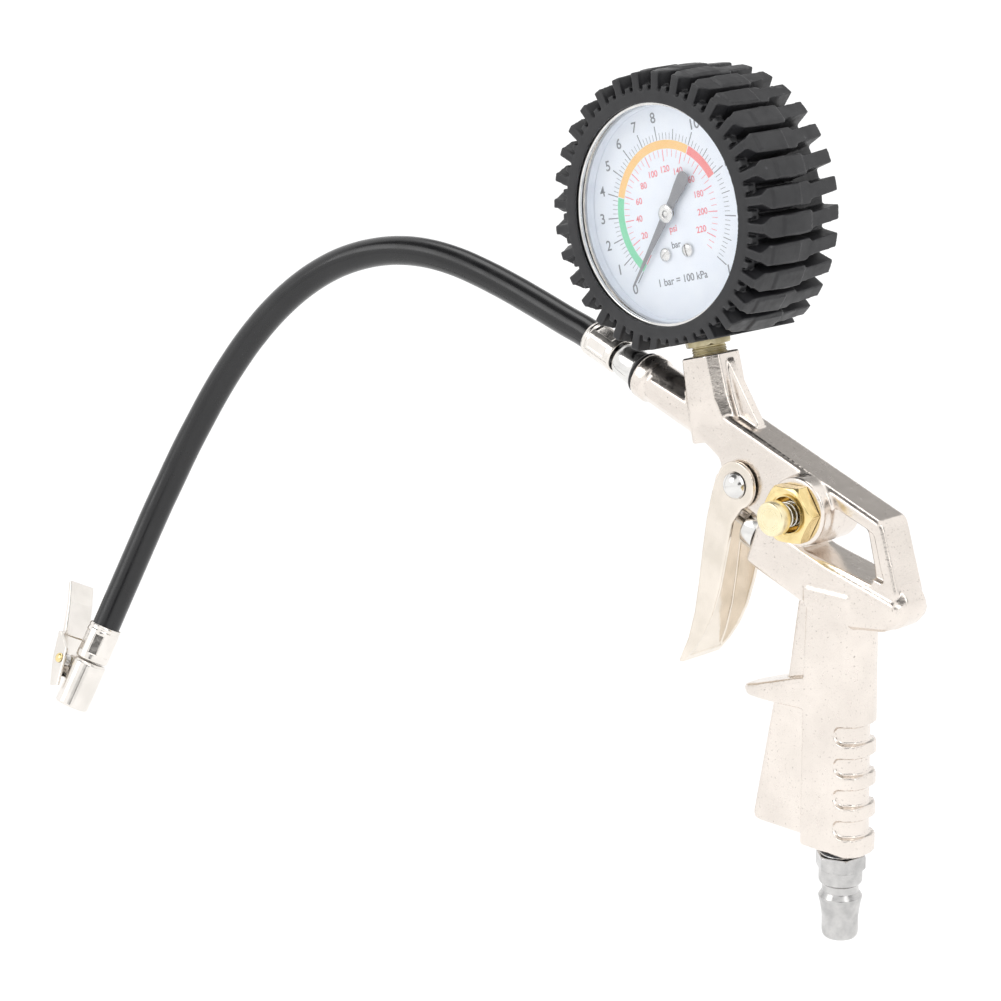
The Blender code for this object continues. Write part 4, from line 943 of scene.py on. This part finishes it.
def make_stage():
    bm = bmesh.new()
    bmesh.ops.create_circle(bm, cap_ends=True, radius=FLOOR_R, segments=96)
    mesh = bpy.data.meshes.new("floor")
    bm.to_mesh(mesh)
    bm.free()
    floor = bpy.data.objects.new("floor", mesh)
    floor.location = (0, 0, FLOOR_Z)
    bpy.context.scene.collection.objects.link(floor)
    white = enamel("floor_white", (0.90, 0.90, 0.90), (0.885, 0.885, 0.885), 0.7)
    glow = white.node_tree.nodes["Principled BSDF"].inputs
    glow["Emission Color"].default_value = (1.0, 1.0, 1.0, 1.0)
    glow["Emission Strength"].default_value = FLOOR_GLOW
    floor.data.materials.append(white)


def lamp(name, spot, target, size, watts):
    data = bpy.data.lights.new(name, "AREA")
    data.shape = "RECTANGLE"
    data.size = size[0]
    data.size_y = size[1]
    data.energy = watts
    made = bpy.data.objects.new(name, data)
    away = Vector(spot) - Vector(target)
    turn = away.to_track_quat("Z", "Y").to_matrix().to_4x4()
    made.matrix_world = Matrix.Translation(Vector(spot)) @ turn
    bpy.context.scene.collection.objects.link(made)


# Dark flags that only reflections see: (direction, inner degrees, outer degrees, darkness).
FLAGS = [((0.749, -0.659, 0.06), 9.0, 21.0, 0.92), ((-0.09, -0.48, 0.87), 14.0, 30.0, 0.85),
         ((-0.19, 0.66, 0.73), 13.0, 27.0, 0.62), ((0.98, 0.15, 0.10), 8.0, 22.0, 0.55)]
# Each lamp is (name, place, size, watts).
LAMPS = [("key", (-0.5, -1.5, 1.3), (1.0, 1.0), 6.0),
         ("side", (1.5, -0.3, 0.7), (0.6, 1.4), 2.5),
         ("top", (0.0, 0.3, 1.6), (0.9, 0.6), 2.5)]
LIT_MIDDLE = (-0.08, 0.0, 0.06)
SKY_STRENGTH = 1.12


def two_values(tree, operation, first, second):
    """Output of a Math node that works on two other outputs."""
    node = tree.nodes.new("ShaderNodeMath")
    node.operation = operation
    tree.links.new(first, node.inputs[0])
    tree.links.new(second, node.inputs[1])
    return node.outputs["Value"]


def flag_shade(tree, coords, direction, inner, outer, darkness):
    """Darkness of the sky around one fixed direction, soft between two angles."""
    towards = tree.nodes.new("ShaderNodeVectorMath")
    towards.operation = "DOT_PRODUCT"
    towards.inputs[1].default_value = Vector(direction).normalized()
    tree.links.new(coords.outputs["Generated"], towards.inputs[0])
    edge = tree.nodes.new("ShaderNodeMapRange")
    edge.interpolation_type = "SMOOTHSTEP"
    edge.inputs["From Min"].default_value = math.cos(math.radians(outer))
    edge.inputs["From Max"].default_value = math.cos(math.radians(inner))
    edge.inputs["To Max"].default_value = darkness
    tree.links.new(towards.outputs["Value"], edge.inputs["Value"])
    return edge.outputs["Result"]


def make_sky():
    world = bpy.data.worlds.new("studio")
    bpy.context.scene.world = world
    world.use_nodes = True
    tree = world.node_tree
    coords = tree.nodes.new("ShaderNodeTexCoord")
    shades = [flag_shade(tree, coords, *flag) for flag in FLAGS]
    shade = shades[0]
    for other in shades[1:]:
        shade = two_values(tree, "MAXIMUM", shade, other)
    path = tree.nodes.new("ShaderNodeLightPath")
    reflected = tree.nodes.new("ShaderNodeMapRange")
    reflected.inputs["To Min"].default_value = 1.0
    reflected.inputs["To Max"].default_value = 0.0
    tree.links.new(path.outputs["Is Camera Ray"], reflected.inputs["Value"])
    shade = two_values(tree, "MULTIPLY", shade, reflected.outputs["Result"])
    mix = tree.nodes.new("ShaderNodeMix")
    mix.data_type = "RGBA"
    mix.inputs[6].default_value = (1.0, 1.0, 1.0, 1.0)
    mix.inputs[7].default_value = (0.0, 0.0, 0.0, 1.0)
    tree.links.new(shade, mix.inputs["Factor"])
    sky = tree.nodes["Background"]
    tree.links.new(mix.outputs[2], sky.inputs["Color"])
    sky.inputs["Strength"].default_value = SKY_STRENGTH


def make_light():
    make_sky()
    for name, spot, size, watts in LAMPS:
        lamp(name, spot, LIT_MIDDLE, size, watts)
    bpy.context.scene.view_settings.view_transform = "Standard"


make_stage()
make_light()

bpy.context.view_layer.update()
